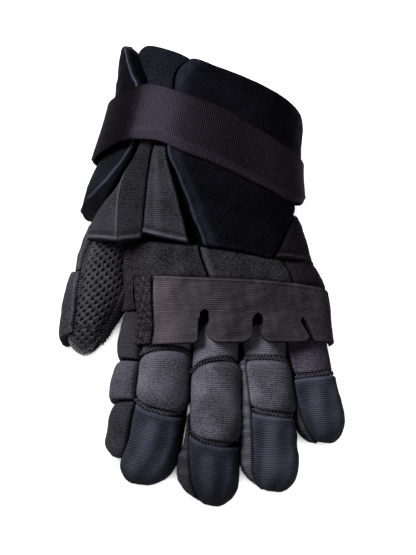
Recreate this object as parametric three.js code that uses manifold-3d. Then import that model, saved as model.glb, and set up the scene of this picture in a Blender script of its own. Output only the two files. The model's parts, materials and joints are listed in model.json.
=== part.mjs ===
// A padded fencing glove for the left hand, lying palm down with the back of the hand up.
// Millimetres, +Z up, the fingers towards -Y, the cuff's opening towards +Y, the thumb on the -X side.
// The origin is the middle of the glove's bounding box, on the surface that the palm rests on.
import * as THREE from "three";
import { mergeVertices } from "three/addons/utils/BufferGeometryUtils.js";
import Module from "manifold-3d";

const wasm = await Module();
wasm.setup();

const radians = THREE.MathUtils.degToRad;
const { lerp, clamp } = THREE.MathUtils;

// Driving dimensions
const WALL = 2.4; // thickness of the fabric wall round the hand
const JOIN = 0.3; // clearance where two tubes of the wall meet face to face
const GAP = 0.5; // clearance between a pad and the broad wall that it is sewn to
const FINGER_GAP = 0.8; // the same round a finger, where a pad's flat facets reach further in
const CUFF_GAP = 1; // the same for the cuff's long pads
const KNUCKLE_Y = -38; // where the fingers leave the palm
const WRIST_Y = 42; // where the palm and the thumb leave the cuff
const RIM_Y = 141; // the cuff's open end, on the glove's middle line
const THUMB_TIP = -51;
const TIP_LENGTH = 17; // length of a finger's rounded end
const TIP_HEIGHT = 0.44; // height of the tip's point, as a share of the finger's height
const TIP_ANGLES = [82, 66, 46, 24]; // sections round a finger's end, in degrees from its straight part
const PULL = 6; // how far a cutting tube runs past the end that it opens

// The cross section of every tube
const SQUARENESS = 2.6; // 2 is an ellipse, larger is boxier
const MIDDLE_SHARE = 0.42; // height of the widest point, as a share of the section's height
const FLATTENING = 1.1; // how far the lower half would reach below the flat underside, as a factor
const FINGER_SIDES = 16;
const BODY_SIDES = 28;

// Tables: a list of rows becomes a list of records with named columns.
function table(columns, rows) {
  const names = columns.split(" ");
  return rows.map((row) => Object.fromEntries(names.map((name, i) => [name, row[i]])));
}

// Sections along Y: the middle line's x, the half width, the height of the top and of the underside.
// skew is how far a section runs along Y for each millimetre of X.
const CUFF = table("y x half top bottom skew", [
  [-12, -6, 75.5, 45, 0, 0],
  [5, -7.5, 74.5, 48.5, 0, 0],
  [20, -8.5, 73.5, 51.5, 0, 0],
  [42, -10, 71.5, 58, 0, 0],
  [52, -10, 70.5, 61.5, 3.2, -0.06],
  [66, -9.5, 68, 67, 3.2, -0.15],
  [95, -5, 62, 75, 3.2, -0.27],
  [120, -1, 60, 77.5, 3.2, -0.34],
  [155, 1, 59, 78, 3.2, -0.43],
]);
const PALM = table("y x half top bottom skew", [
  [-62, 18, 65, 35, 0, 0],
  [-38, 16.5, 62.5, 40, 0, 0],
  [-10, 11, 66, 46, 0, 0],
  [0, 8.5, 65, 47.5, 0, 0],
  [15, 4.8, 60.3, 48.5, 0, 0],
  [42, 4, 54.4, 54, 0, 0],
]);
const THUMB = table("y x half top bottom skew", [
  [-58, -90.5, 14.5, 27, 0, 0],
  [-32, -85, 16.5, 30, 0, 0],
  [-8, -78.5, 19, 33, 0, 0],
  [20, -73.5, 16.5, 34, 0, 0],
  [42, -67, 14.5, 34.5, 0, 0],
]);

// The fingers: middle line, half width and height, each at the knuckle and at the tip
const FINGERS = table("name tip xRoot xTip halfRoot halfTip topRoot topTip", [
  ["index", -139.5, -29, -47.5, 14.5, 16, 31, 25],
  ["middle", -154, 3, 0, 13.5, 14, 34, 26],
  ["ring", -144.5, 36, 46, 13.5, 13.5, 33, 25],
  ["little", -110.5, 66, 80, 12.5, 13.5, 29, 24],
]);

// Pads across a finger: their ends along Y, the angles of their left and right edges, and their thickness.
// Angles run round a section: 0 is the little finger's side, 90 the back of the hand, 180 the thumb's side.
const FINGER_PADS = table("finger name from to left right high", [
  ["index", "base", -38.6, -48.5, 132, 8, 6],
  ["index", "middle", -50, -91, 148, -8, 10.5],
  ["middle", "base", -38.6, -55, 128, 12, 7],
  ["middle", "middle", -56.5, -107, 142, -8, 11],
  ["ring", "base", -38.6, -50.5, 128, 12, 7],
  ["ring", "middle", -52, -92, 142, -4, 10.5],
  ["little", "base", -38.6, -60.5, 128, -5, 6.5],
]);
const TIP_PADS = table("finger from left right high", [
  ["index", -92.5, 146, -14, 8],
  ["middle", -108.5, 140, -12, 8],
  ["ring", -93.5, 140, -12, 8],
  ["little", -62, 138, -16, 8.5],
]);
const TIP_PAD_END = 0.4; // thickness of a tip pad at its end, as a share of its full thickness

// Padded strips down the thumb's side of three fingers, thickening from highFrom to highTip
const STRIPS = table("finger from highFrom highTip", [
  ["middle", -104, 3, 9],
  ["ring", -66, 2.5, 6],
  ["little", -82, 2.5, 5.5],
]);
const STRIP_EDGES = { left: 206, right: 145 };
const STRIP_FULL_FROM = 0.62; // share of a strip's length after which it has its full thickness

// The index finger's three stuffed side pads, the first of them standing off the palm's side
const SIDE_PADS = table("name from to low high", [
  ["index_side_pad_1", -24, -52, 11, 23],
  ["index_side_pad_2", -53.5, -85, 1, 22.5],
  ["index_side_pad_3", -86.5, -118, 1, 17.5],
]);
const SIDE_PAD_EDGES = { left: 212, right: 151 };

// The thumb's side pads, one lapping down from the cuff and one along the thumb
const THUMB_PADS = table("name from to highFrom highTo", [
  ["thumb_pad_upper", 41, 10, 10, 5.5],
  ["thumb_pad_lower", 8.5, -43, 9, 8],
]);
const THUMB_PAD_EDGES = { left: 214, right: 160 };

// Every other pad is a list of lines across it: y and angle of both ends, then the heights over the wall
// of its underside and of its full thickness.
const LINE = "yLeft yRight left right low high";
const BACK_PADS = {
  back_pad_thumb_side: table(LINE, [
    [23, 16.5, 150, 99, GAP, 8],
    [2.5, 0.5, 150, 99, GAP, 8],
  ]),
  back_pad_middle: table(LINE, [
    [15.5, 8.3, 97.5, 48, GAP, 8],
    [0, -2.5, 97.5, 48, GAP, 8],
  ]),
  back_pad_outer: table(LINE, [
    [8, 4.5, 46.5, -14, GAP, 8.5],
    [-3, -5, 46.5, -14, GAP, 8.5],
  ]),
};
const FLAP_HEM = -46.5;
const FLAP = table(LINE, [
  [0.5, -6, 138, -6, GAP, 7.5],
  [-22, -25, 138, -2, 1.5, 8.5],
  [FLAP_HEM, -45, 138, 2, 6.5, 12],
]);
const FLAP_END = table(LINE, [
  [0.5, 0.5, 162, 139.5, GAP, 6],
  [-22, -22, 162, 139.5, 1.5, 7.5],
  [FLAP_HEM, FLAP_HEM, 162, 139.5, 6.5, 11],
]);
// The slots between the knuckles: middle line, top and width; a slot moves by lean towards its mouth.
const FLAP_SLOTS = table("x top width lean", [
  [-5, -23, 5.5, 0],
  [33, -24, 5.5, 0],
  [64, -26, 4, 4.2],
]);
const SLOT_MOUTH = { spread: 6, height: 7 }; // the slot's rounded mouth: wider by spread on each side
const CUFF_PANEL = table(LINE, [
  [148, 153, 98, -14, 0.8, 10.5],
  [117, 120, 101, -16, 0.8, 11],
  [85, 88, 103, -16, 0.8, 11],
  [48, 50, 95, 10, 0.8, 11],
  [17, 11, 88, 51, 0.8, 10],
]);
const CUFF_INNER_PAD = table(LINE, [
  [151, 147, 133, 100.5, CUFF_GAP, 6.5],
  [114, 112, 128, 103, CUFF_GAP, 6.5],
  [88, 88, 121, 105, CUFF_GAP, 6.5],
]);
// The last point of the side pad's first line is the pointed ear above the strap.
const CUFF_SIDE_PAD = table(LINE, [
  [140, 152, 206, 158, 1.3, 9],
  [125, 128, 206, 142, 1.3, 9],
  [86, 86, 206, 125, 1.3, 9.5],
  [62, 62, 206, 140, 1.3, 12],
  [44.5, 44.5, 206, 160, 1.3, 12],
]);

// The wedges that fan out below the strap, each a triangle with its point under the strap
const WEDGES = table("name apexY apexLeft apexRight baseYLeft baseYRight baseLeft baseRight low high", [
  ["wedge_1", 80, 122.5, 120.5, 27, 25.5, 160, 127.5, GAP, 8],
  ["wedge_2", 80, 119.5, 114, 27, 26, 126, 119.5, GAP, 8.5],
  ["wedge_3", 82, 110, 106.5, 27, 23.5, 117, 92.5, GAP, 10],
  ["wedge_4", 53, 1, -4, 13, 13, 46, -18, 5.5, 14],
]);
const WEDGE_POINT = 0.55; // thickness of a wedge at its point, as a share of its full thickness

// The elastic strap round the cuff, between two places on the cuff's middle line
const STRAP = { low: 77, high: 115, thickness: 2.4, sides: 40, rows: 4, snug: 0.4, raised: 12.5 };
// Round the section: how far the strap is moved along Y, and how high it runs over the wall.
const STRAP_ROUTE = table("angle shift lift", [
  [-90, -4, STRAP.snug],
  [-52, -5, STRAP.snug],
  [-18, -6, STRAP.raised],
  [10, -6, STRAP.raised],
  [50, -3, STRAP.raised],
  [85, 0, STRAP.raised],
  [122, 8, STRAP.raised],
  [150, 1, STRAP.raised],
  [180, -5, STRAP.raised],
  [210, -5, STRAP.raised],
  [242, -4, STRAP.snug],
  [270, -4, STRAP.snug],
]);

// Evenly spaced numbers, both ends included.
function even(from, to, steps) {
  return Array.from({ length: steps + 1 }, (_, i) => lerp(from, to, i / steps));
}

// The record at a place on a smooth curve through a table's rows, which are in order of their key column.
function along(rows, place, key = "y") {
  const last = rows.length - 1;
  let i = 0;
  while (i < last - 1 && place > rows[i + 1][key]) i += 1;
  const a = rows[i];
  const b = rows[i + 1];
  const before = rows[Math.max(i - 1, 0)];
  const after = rows[Math.min(i + 2, last)];
  const span = b[key] - a[key];
  const f = (place - a[key]) / span;
  const record = { [key]: place };
  for (const name of Object.keys(a)) {
    if (name === key) continue;
    const slopeA = ((b[name] - before[name]) / (b[key] - before[key])) * span;
    const slopeB = ((after[name] - a[name]) / (after[key] - a[key])) * span;
    record[name] =
      a[name] * (2 * f ** 3 - 3 * f ** 2 + 1) +
      slopeA * (f ** 3 - 2 * f ** 2 + f) +
      b[name] * (3 * f ** 2 - 2 * f ** 3) +
      slopeB * (f ** 3 - f ** 2);
  }
  return record;
}

// A finger's sections, from its tip to a little way into the palm.
function fingerRows(finger) {
  const row = (share) => ({
    y: lerp(KNUCKLE_Y, finger.tip, share),
    x: lerp(finger.xRoot, finger.xTip, share),
    half: lerp(finger.halfRoot, finger.halfTip, Math.max(share, 0)),
    top: lerp(finger.topRoot, finger.topTip, Math.max(share, 0)),
    bottom: 0,
    skew: 0,
  });
  return [1, 0.5, 0, -0.3].map(row);
}

// How far place y is into a rounded end of the given length: 0 at its start, 1 at the tip.
function intoTip(tip, y, length) {
  return clamp((tip + TIP_LENGTH - y) / length, 0, 1);
}

// The section of a tube at y, with its wall taken in by inset and drawn together over the tip.
function sectionAt(tube, y, inset = 0) {
  const section = along(tube.rows, y);
  section.half -= inset;
  section.top -= inset;
  section.bottom += inset;
  if (tube.tip !== undefined) {
    const closing = Math.sqrt(1 - intoTip(tube.tip, y, TIP_LENGTH - inset) ** 2);
    const point = lerp(section.bottom, section.top, TIP_HEIGHT);
    section.half *= closing;
    section.top = lerp(point, section.top, closing);
    section.bottom = lerp(point, section.bottom, closing);
  }
  return section;
}

// A point of a tube's wall, at place y and an angle round the section.
function wallPoint(tube, y, angle, inset = 0) {
  const section = sectionAt(tube, y, inset);
  const bend = (value) => Math.sign(value) * Math.abs(value) ** (2 / SQUARENESS);
  const middle = lerp(section.bottom, section.top, MIDDLE_SHARE);
  const upper = angle > 0 && angle < 180;
  const rise = upper ? section.top - middle : (middle - section.bottom) * FLATTENING;
  const across = section.half * bend(Math.cos(radians(angle)));
  const z = Math.max(middle + rise * bend(Math.sin(radians(angle))), section.bottom);
  return new THREE.Vector3(section.x + across, y + section.skew * across, z);
}

// The wall's outward normal there, from points a small step away.
function wallNormal(tube, y, angle) {
  const step = { y: 0.05, angle: 1 };
  const round = wallPoint(tube, y, angle + step.angle).sub(wallPoint(tube, y, angle - step.angle));
  const down = wallPoint(tube, y + step.y, angle).sub(wallPoint(tube, y - step.y, angle));
  return down.cross(round).normalize();
}

// A point at a height over the wall, and never below the surface that the glove lies on.
function overWall(tube, y, angle, height, floor = 0) {
  const point = wallPoint(tube, y, angle).addScaledVector(wallNormal(tube, y, angle), height);
  point.z = Math.max(point.z, floor);
  return point;
}

function geometryFrom(points, triangles) {
  const geometry = new THREE.BufferGeometry();
  const coordinates = points.flatMap((p) => [p.x, p.y, p.z]);
  geometry.setAttribute("position", new THREE.Float32BufferAttribute(coordinates, 3));
  geometry.setIndex(triangles.flat());
  return geometry;
}

// Solids for joining and cutting
function toSolid(geometry) {
  const bare = geometry.clone();
  bare.deleteAttribute("normal");
  bare.deleteAttribute("uv");
  const merged = mergeVertices(bare, 1e-4);
  return new wasm.Manifold(
    new wasm.Mesh({
      numProp: 3,
      vertProperties: merged.attributes.position.array,
      triVerts: new Uint32Array(merged.index.array),
    }),
  );
}

function fromSolid(solid) {
  const mesh = solid.getMesh();
  const geometry = new THREE.BufferGeometry();
  geometry.setAttribute("position", new THREE.BufferAttribute(mesh.vertProperties, 3));
  geometry.setIndex(new THREE.BufferAttribute(mesh.triVerts, 1));
  return geometry;
}

// A solid through closed rings of points, with a lid at both ends.
function loft(rings) {
  const sides = rings[0].length;
  const points = rings.flat();
  const triangles = [];
  for (let i = 0; i < rings.length - 1; i += 1) {
    for (let j = 0; j < sides; j += 1) {
      const a = i * sides + j;
      const b = i * sides + ((j + 1) % sides);
      triangles.push([a, a + sides, b], [b, a + sides, b + sides]);
    }
  }
  const lid = (ring, first, facesBack) => {
    const middle = ring.reduce((sum, p) => sum.add(p), new THREE.Vector3()).divideScalar(sides);
    points.push(middle);
    for (let j = 0; j < sides; j += 1) {
      const a = first + j;
      const b = first + ((j + 1) % sides);
      triangles.push(facesBack ? [a, b, points.length - 1] : [b, a, points.length - 1]);
    }
  };
  lid(rings[0], 0, true);
  lid(rings.at(-1), (rings.length - 1) * sides, false);
  return geometryFrom(points, triangles);
}

// A hollow tube of wall through the given places. Its last end is open, and so is its first without a tip.
function hollow(tube, places, sides) {
  const angles = even(0, 360, sides).slice(1);
  const ring = (y, inset) => angles.map((angle) => wallPoint(tube, y, angle, inset));
  const end = places.at(-1) + PULL;
  const inside =
    tube.tip === undefined
      ? [places[0] - PULL, ...places.slice(1, -1), end]
      : [...places.filter((y) => y > tube.tip + 1.5 * WALL), end];
  const outer = toSolid(loft(places.map((y) => ring(y, 0))));
  const inner = toSolid(loft(inside.map((y) => ring(y, WALL))));
  return fromSolid(outer.subtract(inner));
}

// Places along a finger or the thumb: round its tip, then evenly to its root.
function tipPlaces(tip, root, steps) {
  const start = tip + TIP_LENGTH;
  const round = TIP_ANGLES.map((angle) => start - TIP_LENGTH * Math.sin(radians(angle)));
  return [...round, ...even(start, root, steps)];
}

// Shares from 0 to 1 across a pad: even steps, with the outermost pair moved close to the edges.
function padShares(steps, edge) {
  return [0, edge, ...even(0, 1, steps).slice(1, -1), 1 - edge, 1];
}

// How full a pad is at a share across it: edge at its border, rising to 1 over the share round.
function fullness(share, round, edge) {
  const inward = Math.min(Math.min(share, 1 - share) / round, 1);
  return edge + (1 - edge) * Math.sqrt(1 - (1 - inward) ** 2);
}

// A pad on a tube, through lines across it. steps and stepsAlong are its divisions, roundAcross and
// roundAlong the shares of its size over which it fills out, edge its fullness at the border, and side
// how thick it is down both sides compared with its crown.
function pad(tube, lines, shape = {}) {
  const { steps = 7, stepsAlong = 3, roundAcross = 0.18, roundAlong = 0.2, edge = 0.4, side = 1 } = shape;
  const across = padShares(steps, 0.045);
  const down = padShares(stepsAlong, 0.06);
  const lineAt = (share) => {
    const place = share * (lines.length - 1);
    const i = Math.min(Math.floor(place), lines.length - 2);
    const blended = (name) => lerp(lines[i][name], lines[i + 1][name], place - i);
    return Object.fromEntries(Object.keys(lines[0]).map((name) => [name, blended(name)]));
  };
  const face = (heightAt) =>
    down.map((v) => {
      const line = lineAt(v);
      return across.map((u) => {
        const crown = side + (1 - side) * Math.sin(Math.PI * u);
        const full = fullness(u, roundAcross, edge) * fullness(v, roundAlong, edge) * crown;
        const y = lerp(line.yLeft, line.yRight, u);
        return overWall(tube, y, lerp(line.left, line.right, u), heightAt(line, full));
      });
    });
  const outside = face((line, full) => lerp(line.low, line.high, full));
  return quilt(outside, face((line) => line.low));
}

// A closed skin over two grids of points, one above the other, joined along their borders.
function quilt(upper, lower) {
  const rows = upper.length;
  const columns = upper[0].length;
  const below = rows * columns;
  const triangles = [];
  const quad = (a, b, c, d) => triangles.push([a, b, c], [a, c, d]);
  for (let i = 0; i < rows - 1; i += 1) {
    for (let j = 0; j < columns - 1; j += 1) {
      const a = i * columns + j;
      quad(a, a + columns, a + columns + 1, a + 1);
      quad(below + a, below + a + 1, below + a + columns + 1, below + a + columns);
    }
  }
  const border = [];
  for (let j = 0; j < columns - 1; j += 1) border.push(j);
  for (let i = 0; i < rows - 1; i += 1) border.push(i * columns + columns - 1);
  for (let j = columns - 1; j > 0; j -= 1) border.push((rows - 1) * columns + j);
  for (let i = rows - 1; i > 0; i -= 1) border.push(i * columns);
  border.forEach((a, k) => {
    const b = border[(k + 1) % border.length];
    quad(a, b, below + b, below + a);
  });
  return geometryFrom([...upper.flat(), ...lower.flat()], triangles);
}

// Materials
function fabric(name, color, roughness) {
  const material = new THREE.MeshStandardMaterial({ color, roughness, metalness: 0 });
  material.name = name;
  return material;
}
const FABRICS = {
  liner: fabric("liner", 0x1d1c22, 0.95),
  knit: fabric("knit", 0x2c2b33, 0.9),
  smooth: fabric("smooth", 0x15151c, 0.7),
  webbing: fabric("webbing", 0x2a272f, 0.85),
  flap: fabric("flap", 0x302c33, 0.9),
  mesh: fabric("mesh", 0x1c1b20, 0.6),
};

const glove = new THREE.Group();

function add(name, geometry, material) {
  const mesh = new THREE.Mesh(geometry, material);
  mesh.name = name;
  glove.add(mesh);
}

const cuff = { rows: CUFF };
const palm = { rows: PALM };
const thumb = { rows: THUMB, tip: THUMB_TIP };
const fingers = Object.fromEntries(FINGERS.map((f) => [f.name, { rows: fingerRows(f), tip: f.tip }]));

// The hollow wall round the hand
function addWalls() {
  const cuffPlaces = even(WRIST_Y + JOIN / 2, RIM_Y, 6);
  const palmPlaces = even(KNUCKLE_Y + JOIN / 2, WRIST_Y - JOIN / 2, 5);
  const thumbPlaces = tipPlaces(THUMB_TIP, WRIST_Y - JOIN / 2, 4);
  add("cuff_body", hollow(cuff, cuffPlaces, BODY_SIDES), FABRICS.liner);
  add("palm_body", hollow(palm, palmPlaces, BODY_SIDES), FABRICS.liner);
  add("thumb_stall", hollow(thumb, thumbPlaces, FINGER_SIDES), FABRICS.mesh);
  for (const [name, finger] of Object.entries(fingers)) {
    const places = tipPlaces(finger.tip, KNUCKLE_Y - JOIN / 2, 3);
    add(`${name}_stall`, hollow(finger, places, FINGER_SIDES), FABRICS.knit);
  }
}

// A line straight across a finger or the thumb.
function straightLine(y, edges, low, high) {
  return { yLeft: y, yRight: y, left: edges.left, right: edges.right, low, high };
}

// How thick a pad stays over a finger's rounded end.
function tipThinning(finger, y) {
  return lerp(TIP_PAD_END, 1, Math.sqrt(1 - intoTip(finger.tip, y, TIP_LENGTH) ** 2));
}

function addFingerPads() {
  const shape = { steps: 8, roundAcross: 0.12, roundAlong: 0.16, side: 0.35 };
  for (const p of FINGER_PADS) {
    const lines = even(p.from, p.to, 3).map((y) => straightLine(y, p, FINGER_GAP, p.high));
    add(`${p.finger}_pad_${p.name}`, pad(fingers[p.finger], lines, shape), FABRICS.knit);
  }
  for (const p of TIP_PADS) {
    const finger = fingers[p.finger];
    const places = tipPlaces(finger.tip, p.from, 2).reverse();
    const lines = places.map((y) => straightLine(y, p, FINGER_GAP, p.high * tipThinning(finger, y)));
    const tipShape = { ...shape, stepsAlong: places.length - 1 };
    add(`${p.finger}_pad_tip`, pad(finger, lines, tipShape), FABRICS.knit);
  }
}

function addSideStrips() {
  for (const strip of STRIPS) {
    const finger = fingers[strip.finger];
    const places = tipPlaces(finger.tip, strip.from, 3).reverse();
    const lines = places.map((y) => {
      const share = (y - strip.from) / (finger.tip - strip.from);
      const full = lerp(strip.highFrom, strip.highTip, Math.min(share / STRIP_FULL_FROM, 1));
      return straightLine(y, STRIP_EDGES, FINGER_GAP, full * tipThinning(finger, y));
    });
    const shape = { steps: 3, stepsAlong: places.length - 1, roundAcross: 0.3, edge: 0.5 };
    add(`${strip.finger}_side_strip`, pad(finger, lines, shape), FABRICS.knit);
  }
}

function addSidePads() {
  for (const p of SIDE_PADS) {
    const lines = [p.from, p.to].map((y) => straightLine(y, SIDE_PAD_EDGES, p.low, p.high));
    add(p.name, pad(fingers.index, lines, { steps: 5, roundAcross: 0.4, roundAlong: 0.35 }), FABRICS.knit);
  }
  for (const p of THUMB_PADS) {
    const lines = [
      straightLine(p.from, THUMB_PAD_EDGES, FINGER_GAP, p.highFrom),
      straightLine(p.to, THUMB_PAD_EDGES, FINGER_GAP, p.highTo),
    ];
    add(p.name, pad(thumb, lines, { steps: 4, stepsAlong: 4, roundAcross: 0.3 }), FABRICS.knit);
  }
}

function addBackPads() {
  for (const [name, lines] of Object.entries(BACK_PADS)) {
    const material = name === "back_pad_outer" ? FABRICS.smooth : FABRICS.knit;
    add(name, pad(palm, lines, { steps: name === "back_pad_outer" ? 5 : 4 }), material);
  }
}

// A block through the flap with a slot's outline: round at its top and spread at its mouth.
function slotCutter({ x, top, width, lean }) {
  const half = width / 2;
  const mouth = x + lean;
  const wide = half + SLOT_MOUTH.spread;
  const shape = new THREE.Shape();
  shape.moveTo(x - half, top - half);
  shape.absarc(x, top - half, half, Math.PI, 0, true);
  shape.lineTo(mouth + half, FLAP_HEM - 1 + SLOT_MOUTH.height);
  shape.lineTo(mouth + wide, FLAP_HEM - 1);
  shape.lineTo(mouth + wide, FLAP_HEM - PULL);
  shape.lineTo(mouth - wide, FLAP_HEM - PULL);
  shape.lineTo(mouth - wide, FLAP_HEM - 1);
  shape.lineTo(mouth - half, FLAP_HEM - 1 + SLOT_MOUTH.height);
  return new THREE.ExtrudeGeometry(shape, { depth: 90, bevelEnabled: false, curveSegments: 4 });
}

function addFlap() {
  const whole = pad(palm, FLAP, { steps: 13, stepsAlong: 4, roundAcross: 0.06, edge: 0.7 });
  let flap = toSolid(whole);
  for (const slot of FLAP_SLOTS) flap = flap.subtract(toSolid(slotCutter(slot)));
  add("knuckle_flap", fromSolid(flap), FABRICS.flap);
  add("flap_end", pad(palm, FLAP_END, { steps: 3 }), FABRICS.flap);
}

function addCuffPads() {
  const panelShape = { steps: 11, stepsAlong: 8, roundAcross: 0.1, roundAlong: 0.1 };
  add("cuff_panel", pad(cuff, CUFF_PANEL, panelShape), FABRICS.smooth);
  add("cuff_inner_pad", pad(cuff, CUFF_INNER_PAD, { steps: 4, stepsAlong: 4 }), FABRICS.smooth);
  const sideShape = { steps: 8, stepsAlong: 6, roundAcross: 0.16 };
  add("cuff_side_pad", pad(cuff, CUFF_SIDE_PAD, sideShape), FABRICS.smooth);
}

function addWedges() {
  for (const w of WEDGES) {
    const lines = table(LINE, [
      [w.apexY, w.apexY, w.apexLeft, w.apexRight, GAP, w.high * WEDGE_POINT],
      [w.baseYLeft, w.baseYRight, w.baseLeft, w.baseRight, w.low, w.high],
    ]);
    add(w.name, pad(cuff, lines, { steps: 4, stepsAlong: 4, roundAlong: 0.12 }), FABRICS.knit);
  }
}

// A ring of the strap's inner or outer face, through a place on the cuff's middle line.
function strapRing(place, height) {
  return even(-90, 270, STRAP.sides)
    .slice(1)
    .map((angle) => {
      const route = along(STRAP_ROUTE, angle, "angle");
      const lift = clamp(route.lift, STRAP.snug, STRAP.raised);
      return overWall(cuff, place + route.shift, angle, lift + height, STRAP.thickness - height);
    });
}

function addStrap() {
  const places = even(STRAP.low, STRAP.high, STRAP.rows);
  const inside = [STRAP.low - PULL, ...places.slice(1, -1), STRAP.high + PULL];
  const outer = toSolid(loft(places.map((y) => strapRing(y, STRAP.thickness))));
  const inner = toSolid(loft(inside.map((y) => strapRing(y, 0))));
  add("wrist_strap", fromSolid(outer.subtract(inner)), FABRICS.webbing);
}

addWalls();
addFingerPads();
addSideStrips();
addSidePads();
addBackPads();
addFlap();
addCuffPads();
addWedges();
addStrap();

// The origin: the middle of the bounding box, at the height of the underside
const bounds = new THREE.Box3().setFromObject(glove);
const centre = bounds.getCenter(new THREE.Vector3());
glove.position.set(-centre.x, -centre.y, -bounds.min.z);

export default glove;
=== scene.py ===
import json
import math
from types import SimpleNamespace

import bpy
import numpy as np
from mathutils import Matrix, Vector

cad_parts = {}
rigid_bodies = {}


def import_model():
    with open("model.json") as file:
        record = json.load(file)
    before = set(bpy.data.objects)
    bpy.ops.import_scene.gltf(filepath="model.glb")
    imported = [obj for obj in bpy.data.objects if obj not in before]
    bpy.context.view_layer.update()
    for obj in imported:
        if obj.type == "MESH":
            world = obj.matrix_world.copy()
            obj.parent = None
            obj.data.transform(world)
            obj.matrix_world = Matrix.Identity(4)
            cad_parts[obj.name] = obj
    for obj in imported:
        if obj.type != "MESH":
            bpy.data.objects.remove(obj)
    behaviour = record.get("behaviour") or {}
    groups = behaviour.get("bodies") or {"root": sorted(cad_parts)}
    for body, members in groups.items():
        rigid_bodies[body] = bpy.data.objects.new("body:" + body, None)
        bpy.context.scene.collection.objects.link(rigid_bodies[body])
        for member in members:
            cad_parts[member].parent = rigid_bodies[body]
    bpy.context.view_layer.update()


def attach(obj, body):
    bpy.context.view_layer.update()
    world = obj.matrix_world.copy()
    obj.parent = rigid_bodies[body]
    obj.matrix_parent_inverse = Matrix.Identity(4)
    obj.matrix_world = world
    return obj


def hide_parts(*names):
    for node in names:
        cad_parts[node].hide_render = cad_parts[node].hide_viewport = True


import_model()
bpy.ops.object.select_all(action="DESELECT")
scene = bpy.context.scene

# Every table is in millimetres from the palm's own origin. SHIFT moves it to the frame's origin.
MM = 0.001
SHIFT = np.array([6.7179, -9.0702, 0.0])

# Sections of the tubes along Y: y, middle line's x, half width, top, underside, skew
CUFF_ROWS = [
    [-12, -6, 75.5, 45, 0, 0],
    [5, -7.5, 74.5, 48.5, 0, 0],
    [20, -8.5, 73.5, 51.5, 0, 0],
    [42, -10, 71.5, 58, 0, 0],
    [52, -10, 70.5, 61.5, 3.2, -0.06],
    [66, -9.5, 68, 67, 3.2, -0.15],
    [95, -5, 62, 75, 3.2, -0.27],
    [120, -1, 60, 77.5, 3.2, -0.34],
    [155, 1, 59, 78, 3.2, -0.43],
]
PALM_ROWS = [
    [-62, 18, 65, 35, 0, 0],
    [-38, 16.5, 62.5, 40, 0, 0],
    [-10, 11, 66, 46, 0, 0],
    [0, 8.5, 65, 47.5, 0, 0],
    [15, 4.8, 60.3, 48.5, 0, 0],
    [42, 4, 54.4, 54, 0, 0],
]
THUMB_ROWS = [
    [-58, -90.5, 14.5, 27, 0, 0],
    [-32, -85, 16.5, 30, 0, 0],
    [-8, -78.5, 19, 33, 0, 0],
    [20, -73.5, 16.5, 34, 0, 0],
    [42, -67, 14.5, 34.5, 0, 0],
]
# Fingers: tip, then x, half width and height, each at the knuckle and at the tip
FINGER_ROWS = {
    "index": (-139.5, -29, -47.5, 14.5, 16, 31, 25),
    "middle": (-154, 3, 0, 13.5, 14, 34, 26),
    "ring": (-144.5, 36, 46, 13.5, 13.5, 33, 25),
    "little": (-110.5, 66, 80, 12.5, 13.5, 29, 24),
}
KNUCKLE_Y = -38
WRIST_Y = 42
RIM_Y = 141
THUMB_TIP = -49
# How wide the thumb's right half is: y and share of the left half
THUMB_SLIMNESS = [(-51, 0.58), (-47, 0.6), (-37, 0.66), (-22, 0.86), (-8, 1)]
TIP_LENGTH = 17
TIP_HEIGHT = 0.44
SQUARENESS = 2.6
MIDDLE_SHARE = 0.42
FLATTENING = 1.1
WALL = 1.92
# The gap between two walls that are sewn together
JOIN_GAP = 0.3


def blend(start, end, share):
    return start + (end - start) * share


def value_at(table, place):
    """The value at each place, from a table with rows of place and value."""
    return np.interp(place, *np.transpose(table))


def along(rows, place):
    """The rows blended smoothly at each place; their first column is the place."""
    rows = np.asarray(rows, float)
    place = np.asarray(place, float)
    last = len(rows) - 1
    i = np.searchsorted(rows[1:-1, 0], place)
    a, b = rows[i], rows[i + 1]
    before, after = rows[np.maximum(i - 1, 0)], rows[np.minimum(i + 2, last)]
    span = (b[..., 0] - a[..., 0])[..., None]
    f = (place - a[..., 0])[..., None] / span
    slope_a = (b - before) / (b[..., :1] - before[..., :1]) * span
    slope_b = (after - a) / (after[..., :1] - a[..., :1]) * span
    return (
        a * (2 * f**3 - 3 * f**2 + 1)
        + slope_a * (f**3 - 2 * f**2 + f)
        + b * (3 * f**2 - 2 * f**3)
        + slope_b * (f**3 - f**2)
    )


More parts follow.
